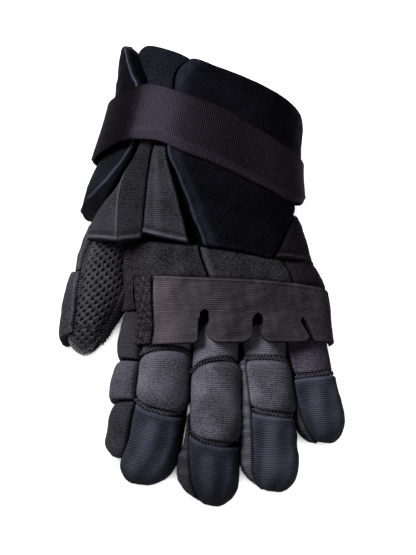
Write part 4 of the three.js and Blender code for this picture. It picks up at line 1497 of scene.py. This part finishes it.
def add_wedges():
    for node, (lines, tilt, lip, sides, tone) in WEDGES.items():
        lay = lay_out(cuff, lines, (60, 72))
        roll = ridge(lay.from_end, 2.4, 1.6) * rounded(np.minimum(lay.from_left, lay.from_right), 2.5)
        crest = ridge(lay.u, 0.45, 0.16) * smooth_step(lay.v, 0.1, 0.4) * (node == "wedge_3")
        keep, shut = (0.55, 0.6) if sides == "both" else (0.97, 0.25)
        full = {"crown": (0.95, 0.95), "keep": (keep, 0.25), "tilt": tilt, "shut": shut}
        height = dome(lay, round_side=2.2, round_end=3, **full) + lip * roll + 1.5 * crest
        # Painted light: a highlight on the rolled base with painted shade in the dip behind it and in the
        # seams, and highlights on wedge 3's crest and on wedge 1's right edge.
        painted_light_and_wear = tone + seam_shade_and_lip_light(lay, 0.7, 0.15, sides) + 0.8 * roll - 0.4 * ridge(lay.from_end, 5.8, 1.5)
        painted_light_and_wear = painted_light_and_wear + 0.25 * crest + 0.6 * ridge(lay.from_right, 0.8, 0.9) * (node == "wedge_1")
        piece = stuffed(f"{node}_cloth", lay, height, painted_light_and_wear)
        dress(piece, "shaded wedge knit" if node == "wedge_4" else "wedge knit", node)


# The strap: angle, y of its lower and upper edge, lift over the wall
STRAP_ROUTE = [
    [-90, 78, 110, 0.4],
    [-52, 79, 108, 0.4],
    [-20, 76, 104.5, 7.5],
    [8, 66.5, 102.5, 11.5],
    [30, 61.5, 103.5, 12.3],
    [50, 67.2, 106, 12.5],
    [67, 72.4, 110, 12.5],
    [83, 77.5, 114.5, 12.5],
    [94, 80.9, 116.5, 12.5],
    [105, 84.4, 117.3, 12.5],
    [114, 84.6, 118, 12.5],
    [124.6, 83.2, 117.5, 12.3],
    [134, 80.5, 114, 11.8],
    [146, 76.5, 111, 11],
    [162, 74, 110, 10.6],
    [183, 76.5, 109, 10.6],
    [210, 78, 109, 9],
    [242, 75, 110, 0.4],
    [270, 78, 110, 0.4],
]


# The strap's least and greatest lift, its thickness, and how far its folded lower border reaches
STRAP_LIFTS = (0.4, 12.6)
STRAP_WALL = 1.8
STRAP_BORDER = 5.5


def add_strap():
    angles = np.linspace(-90, 270, 241)
    share, angle = np.meshgrid(np.linspace(0, 1, 40), angles, indexing="ij")
    _, low, high, lift = np.moveaxis(along(STRAP_ROUTE, angle), -1, 0)
    from_low = share * (high - low)
    y = low + from_low
    turned = window(angle, -20, 5, 121, 128)
    border = np.clip(1 - from_low / STRAP_BORDER, 0, 1)
    crease = ridge(from_low, 5.6, 0.8) * turned
    edges = np.minimum(from_low, (high - low) - from_low)
    lift = np.clip(lift, *STRAP_LIFTS) + 2.2 - turned * 2.6 * border + 0.25 * crease
    lift = lift + 0.3 * unevenness(cuff.wall(y, angle), 40, 8)
    points = cuff.over(y, angle, np.maximum(lift, STRAP_LIFTS[0]))
    # Painted light on the strap: a painted sheen where it curves over the top of the cuff, painted shade over
    # its left side and along its edges, and a painted highlight on the crease; also a paler right part and a
    # lighter band on the turned border.
    painted_sheen = ridge(angle, 111, 13) * (1 - 0.3 * share)
    shaded = smooth_step(angle, 122, 133)
    painted_light_and_wear = 0.5 * crease * (0.3 + painted_sheen) - 0.35 * ridge(edges, 0, 0.8) + 1.3 * painted_sheen - 0.75 * shaded
    painted_light_and_wear = painted_light_and_wear + 0.2 * (1 - smooth_step(angle, 45, 75)) + 0.35 * turned * ridge(from_low, 3, 2.2)
    piece = cloth_grid("wrist_strap_cloth", points[:, ::-1], painted_light_and_wear[:, ::-1])
    piece = thicken(sewn_shut(piece), STRAP_WALL)
    dress(piece, "webbing", node="wrist_strap")


# Stitching. A stitch's size is its half length, half width and half height

FLAP_STITCHES = {"size": (0.95, 0.26, 0.2), "slant": 0, "lanes": (0,), "pitch": 2.4, "slot": "flap"}
THUMB_STITCHES = {
    "size": (1.7, 0.36, 0.35), "slant": 88, "lanes": (0,), "pitch": 1.9, "slot": "mesh",
    "material": "pale thread",
}
# Stitched seams across the fingers: name, finger, y left, y right, left, right, height, arch
SEAMS = [
    ("index_seam_upper", "index", -53.5, -55.5, 131, 12, 7.6, 6),
    ("index_seam_lower", "index", -85, -86, 124, 4, 6.2, -8.5),
    ("middle_seam_upper", "middle", -65.5, -63, 126, 28, 7.8, 7.5),
    ("middle_seam_lower", "middle", -106.5, -108, 124, 22, 6.2, -8.6),
    ("ring_seam_upper", "ring", -55.4, -59.2, 118, 16, 7.6, 0.8),
    ("ring_seam_lower", "ring", -91, -93, 114, 12, 6.2, -3.8),
    ("little_seam_upper", "little", -67.5, -64, 116, -10, 6.2, -0.6),
]


def sew(
    name, tube, y, angle, height, pitch=2.2, size=(1.35, 0.55, 0.6), slant=38, lanes=(-0.65, 0.65),
    material="thread", slot="knit",
):
    """Slanted stitches along a line on a tube, one row for each lane beside the line."""
    path, normals = tube.over(y, angle, height), tube.normal(y, angle)
    run = np.concatenate([[0], np.cumsum(np.linalg.norm(np.diff(path, axis=0), axis=1))])
    count = max(int(run[-1] / pitch), 2)
    draw = np.random.default_rng(len(name))
    bpy.ops.mesh.primitive_uv_sphere_add(segments=8, ring_count=5, radius=1)
    stitch = bpy.context.object
    corners = np.empty(len(stitch.data.vertices) * 3, np.float32)
    stitch.data.vertices.foreach_get("co", corners)
    corners = corners.reshape(-1, 3) * size
    made = []
    for lane in lanes:
        at = np.linspace(0, run[-1], count) + (pitch / 2 if lane > 0 else 0)
        spots = np.stack([np.interp(at, run, part) for part in path.T], 1)
        ups = np.stack([np.interp(at, run, part) for part in normals.T], 1)
        tangents = np.gradient(spots, axis=0)
        for spot, up, tangent in zip(spots, ups, tangents):
            turn = math.radians((slant if lane >= 0 else -slant) + draw.uniform(-7, 7))
            tangent = tangent / max(np.linalg.norm(tangent), 1e-6)
            side = np.cross(up, tangent)
            side /= max(np.linalg.norm(side), 1e-6)
            long = tangent * math.cos(turn) + side * math.sin(turn)
            wide = np.cross(up, long)
            turned = corners * draw.uniform(0.85, 1.1) @ np.stack([long, wide, up])
            made.append(copied(stitch, turned + spot + side * lane))
    bpy.data.objects.remove(stitch)
    piece = joined(made)
    piece.name = name
    bpy.ops.object.shade_smooth()
    dress(piece, material)


def add_finger_seams():
    u = np.linspace(0, 1, 80)
    for name, finger, y_left, y_right, left, right, height, arch in SEAMS:
        y = blend(y_left, y_right, u) + arch * (1 - (2 * u - 1) ** 2)
        material = "dark thread" if finger == "middle" else "thread"
        sew(f"{name}_thread", fingers[finger], y, blend(left, right, u), height, material=material)


def add_flap_seams():
    angle = np.linspace(128, 8, 160)
    y = blend(*FLAP_TOP, across_flap(angle)) - 2.1
    sew("flap_top_thread", palm, y, angle, 7.9 + 3.4 * smooth_step(40 - angle, 0, 38), **FLAP_STITCHES)
    y = np.linspace(0, -44, 80)
    height = 7.9 + 4.2 * down_flap(y) ** 2
    sew("flap_patch_thread", palm, y, value_at(FLAP_LEFT, y) - 1.1, height, **FLAP_STITCHES)


def add_thumb_seams():
    angle = np.linspace(152, 40, 60)
    y = THUMB_TIP + 1.6 + 0.0035 * (angle - 92) ** 2
    sew("thumb_tip_thread", thumb, y, angle, 1.7, **THUMB_STITCHES)
    y = np.linspace(29, -9, 60)
    sew("thumb_side_thread", thumb, y, np.linspace(155, 132, 60), 1.7, **THUMB_STITCHES)


# Build

groups = {"ribbed knit": make_rib_group(), "nap": make_nap_group()}
materials = {
    "liner": fibre_material(
        "liner cloth", 0.009, LINER_BLACK, roughness=0.95, sheen=0.02, fibre_scale=1200.0, depth=0.0003
    ),
    "webbing": webbing_material(0.0045, PLUM),
    "leather": leather_material(0.0075, NAVY),
    "thread": thread_material("seam thread", 0.034),
    "pale thread": thread_material("pale thread", 0.09),
    "dark thread": thread_material("dark seam thread", 0.02),
    "floor": floor_material(),
}
materials.update({name: knit_material(name, *settings) for name, settings in KNITS.items()})
materials.update({name: smooth_material(name, *settings) for name, settings in SMOOTH_CLOTHS.items()})

place_camera()
add_walls()
add_finger_pads()
add_tip_pads()
add_side_strips()
add_side_pads()
add_thumb_face()
add_thumb_border()
add_thumb_web()
add_back_pads()
add_flap()
add_flap_end()
add_cuff_panel()
add_cuff_inner_pad()
add_cuff_side_pad()
add_wedges()
add_strap()
add_finger_seams()
add_flap_seams()
add_thumb_seams()
add_floor()
light_the_scene()
